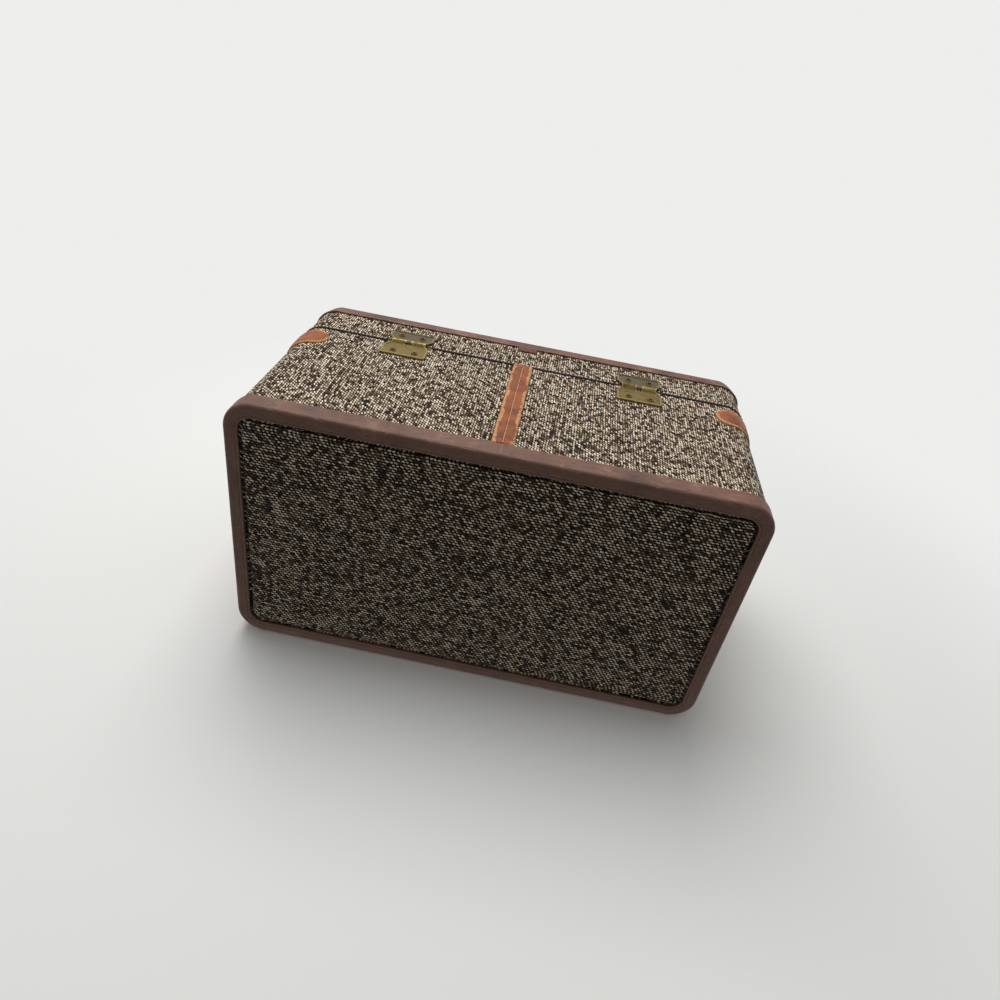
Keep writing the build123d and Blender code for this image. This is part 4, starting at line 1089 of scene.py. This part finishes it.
class CASE_OT_strap(Operator):
    """Lay the sewn strap down the back, with the small tab above it"""

    bl_idname = "case.strap"
    bl_label = "Back Strap"

    def execute(self, context):
        leather = context.scene.train_case_leather
        dress("red_leather", "lid_tab")
        low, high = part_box("back_strap")
        half, thickness = leather.strap_width / 2, high.y - low.y
        steps_in = np.array([0, 0.08, 0.3, 0.8, 1.5, 2.5, 3.6, 4.8, 5.9, 6.5, 6.8, 7.1]) * MM
        x = np.r_[steps_in - half, 0.0, half - steps_in[::-1]]
        depth = half - np.abs(x)
        rim, pad = 0.8 * MM, 0.15 * MM
        seam_width = seam_depth = 0.55 * MM
        rise = thickness * rounded(depth, rim)
        rise -= pad * (1 - eased(depth, rim, 3.5 * MM)) * (depth > 0)
        rise -= seam_depth * dip(x, seam_width)
        run = high.z - low.z
        heights = np.linspace(low.z, high.z, round(run / (1.5 * MM)))
        left, right, swell = (
            waves(heights, 2 * run, shortest * MM, longest * MM, seed)[:, None]
            for shortest, longest, seed in ((8, 50, 51), (8, 50, 52), (12, 60, 53))
        )
        share = (x / half)[None, :]
        edge_wander, swelling = 0.28 * MM, 0.06
        shift = np.where(share < 0, left, right) * np.abs(share) * edge_wander
        y = low.y + rise * (1 + swell * swelling)
        front = np.stack([x + shift, y, np.repeat(heights[:, None], len(x), 1)], 2)
        rows = len(x)
        points = front.reshape(-1, 3)
        faces = quads(rows, len(heights), True, False)
        last = np.arange(rows) + rows * (len(heights) - 1)
        loops = np.r_[faces.ravel(), np.arange(rows), last[::-1]]
        counts = np.r_[np.full(len(faces), 4), rows, rows]
        uv = np.stack([depth[loops % rows], heights[loops // rows]], 1)
        piece = new_piece("strap", points, loops, counts, "edged_leather", "case", uv)
        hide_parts("back_strap")
        pitch, size = 3.4 * MM, (0.7 * MM, 0.6 * MM, 2.9 * MM)
        heights = np.arange(low.z + 3 * MM, high.z - 2 * MM, pitch)
        places = np.c_[np.zeros(len(heights)), np.full(len(heights), high.y - 0.5 * MM), heights]
        upward, facing = (np.tile(way, (len(heights), 1)) for way in (UP, [0.0, 1.0, 0.0]))
        stitches("strap_stitches", places, upward, facing, size, "thread", "case")
        return {"FINISHED"}


class CASE_OT_fittings(Operator):
    """Finish the hinges, latches and handle fittings"""

    bl_idname = "case.fittings"
    bl_label = "Brass Fittings"

    brass_pairs = (
        "hinge_body_leaf", "hinge_pin", "latch_base", "latch_button", "hasp_plate", "hasp", "hasp_pin",
        "handle_eye", "handle_mount", "handle_pin",
    )

    def execute(self, context):
        for side in SIDES:
            dress("dull_plate", f"hinge_lid_leaf_{side}")
            dress("brass", *(f"{fitting}_{side}" for fitting in self.brass_pairs))
        dress("brass", "latch_rivets", "hasp_rivets", "handle_rivets")
        dress("fixing", "hinge_rivets_body", "hinge_rivets_lid")
        dress("tan_leather", "handle_grip")
        return {"FINISHED"}


class CASE_OT_inside(Operator):
    """Finish the boards, lining, mirror and tray"""

    bl_idname = "case.inside"
    bl_label = "Inside"

    def execute(self, context):
        dress("board", "body_board", "lid_board", "lid_top_board", "tray_ledge_left", "tray_ledge_right")
        dress("lining", "body_lining", "mouth_tongue", "lid_lining", "lid_ceiling_lining")
        dress("lining", "tray", "tray_dividers")
        dress("tan_leather", "tray_pull_left", "tray_pull_right")
        dress("brass", "mirror_frame")
        dress("mirror", "mirror_glass")
        return {"FINISHED"}


class CASE_OT_stage(Operator):
    """Set up the pale floor, the soft lamps and the camera"""

    bl_idname = "case.stage"
    bl_label = "Stage"

    def execute(self, context):
        stage = context.scene.train_case_stage
        self.camera(context, stage)
        self.world(context, stage)
        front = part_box("bottom_binding")[0].y
        self.ground("floor", stage, Matrix.Identity(4))
        lying = Matrix.Translation((0, front, 0)) @ Matrix.Rotation(-math.pi / 2, 4, "X")
        self.ground("ground_behind_front", stage, lying)
        self.lamp(context, "key_lamp", place=(0.25, 1.15, 0.45), size=0.9, power=13.0)
        self.lamp(context, "top_lamp", place=(0.4, -0.9, 1.1), size=0.9, power=14.0)
        context.scene.view_settings.view_transform = "Standard"
        return {"FINISHED"}

    def camera(self, context, stage):
        """Seen from below and behind the case, as it lies on its front."""
        place = Vector((-0.01873, 0.32969, -0.37704))
        look = Vector((0.0288, -0.5711, 0.8204)).normalized()
        up = Vector((0.1981, 0.8077, 0.5553))
        right = look.cross(up).normalized()
        up = right.cross(look)
        data = bpy.data.cameras.new("camera")
        data.lens = stage.lens
        data.sensor_width = 36
        data.clip_start, data.clip_end = 0.01, 20
        camera = bpy.data.objects.new("camera", data)
        camera.matrix_world = Matrix.Translation(place) @ Matrix((right, up, -look)).transposed().to_4x4()
        context.scene.collection.objects.link(camera)
        context.scene.camera = camera

    def world(self, context, stage):
        """Even light, less of it from below, and a pale background where it is seen."""
        world = bpy.data.worlds.new("world")
        world.use_nodes = True
        context.scene.world = world
        sky = Shading(world.node_tree, world.node_tree.nodes["Background"])
        _, _, height = sky.split(sky.node("ShaderNodeTexCoord", {}, (), "Generated"))
        level = sky.node("ShaderNodeMapRange", {}, {
            "Value": height, "From Min": -0.35, "From Max": 0.15,
            "To Min": stage.low_fill, "To Max": stage.fill,
        })
        rays = {value.socket.name: value for value in sky.others(sky.node("ShaderNodeLightPath", {}, ()))}
        seen = rays["Is Camera Ray"].most(rays["Is Glossy Ray"]).most(rays["Is Transmission Ray"])
        sky.surface(Color=stage.backdrop, Strength=seen + (1 - seen) * level)

    def ground(self, name, stage, matrix):
        """A wide pale sheet, seen from its front side and fading into the background."""
        reach = 1.5
        mesh = bpy.data.meshes.new(name)
        corners = [(-reach, -reach, 0), (reach, -reach, 0), (reach, reach, 0), (-reach, reach, 0)]
        mesh.from_pydata(corners, [], [(0, 1, 2, 3)])
        sheet = bpy.data.objects.new(name, mesh)
        sheet.matrix_world = matrix
        bpy.context.scene.collection.objects.link(sheet)
        finish = Finish(name, stage.backdrop, 0.9, **{"Specular IOR Level": 0.0})
        length = finish.node("ShaderNodeVectorMath", {"operation": "LENGTH"}, (finish.place(),), "Value")
        behind = finish.node("ShaderNodeNewGeometry", {}, (), "Backfacing")
        fade_start, fade_end = 0.32, 0.75
        clear = length.smooth(fade_start, fade_end).most(behind)
        solid = Value(finish, finish.shader.outputs[0])
        see_through = finish.node("ShaderNodeBsdfTransparent", {}, ())
        both = finish.node("ShaderNodeMixShader", {}, (clear, solid, see_through))
        finish.tree.links.new(both.socket, finish.tree.nodes["Material Output"].inputs["Surface"])
        mesh.materials.append(finish.material)
        for ray in ("diffuse", "glossy", "transmission", "shadow", "volume_scatter"):
            setattr(sheet, f"visible_{ray}", False)

    def lamp(self, context, name, place, size, power):
        data = bpy.data.lights.new(name, "AREA")
        data.size = size
        data.energy = power
        lamp = bpy.data.objects.new(name, data)
        middle = (CAD_LOW + CAD_HIGH) / 2
        lamp.location = place
        lamp.rotation_mode = "QUATERNION"
        lamp.rotation_quaternion = (middle - Vector(place)).to_track_quat("-Z", "Y")
        context.scene.collection.objects.link(lamp)


OPERATORS = (
    CASE_OT_tweed_walls, CASE_OT_tweed_panels, CASE_OT_bindings, CASE_OT_edge_cord, CASE_OT_corner_tabs,
    CASE_OT_strap, CASE_OT_fittings, CASE_OT_inside, CASE_OT_stage,
)
SETTINGS = {
    "train_case_cloth": ClothSettings,
    "train_case_leather": LeatherSettings,
    "train_case_metal": MetalSettings,
    "train_case_stage": StageSettings,
}


class VIEW3D_PT_train_case(Panel):
    """Sizes, colours and steps of the case"""

    bl_label = "Train Case"
    bl_space_type = "VIEW_3D"
    bl_region_type = "UI"
    bl_category = "Case"

    def draw(self, context):
        for name, group in SETTINGS.items():
            box = self.layout.box()
            for field in group.__annotations__:
                box.prop(getattr(context.scene, name), field)
        for operator in OPERATORS:
            self.layout.operator(operator.bl_idname)


CLASSES = (*SETTINGS.values(), *OPERATORS, VIEW3D_PT_train_case)


def register():
    for cls in CLASSES:
        bpy.utils.register_class(cls)
    for name, group in SETTINGS.items():
        setattr(bpy.types.Scene, name, PointerProperty(type=group))


def unregister():
    for name in SETTINGS:
        delattr(bpy.types.Scene, name)
    for cls in reversed(CLASSES):
        bpy.utils.unregister_class(cls)


def main():
    register()
    for operator in OPERATORS:
        group, name = operator.bl_idname.split(".")
        getattr(getattr(bpy.ops, group), name)()


if __name__ == "__main__":
    main()
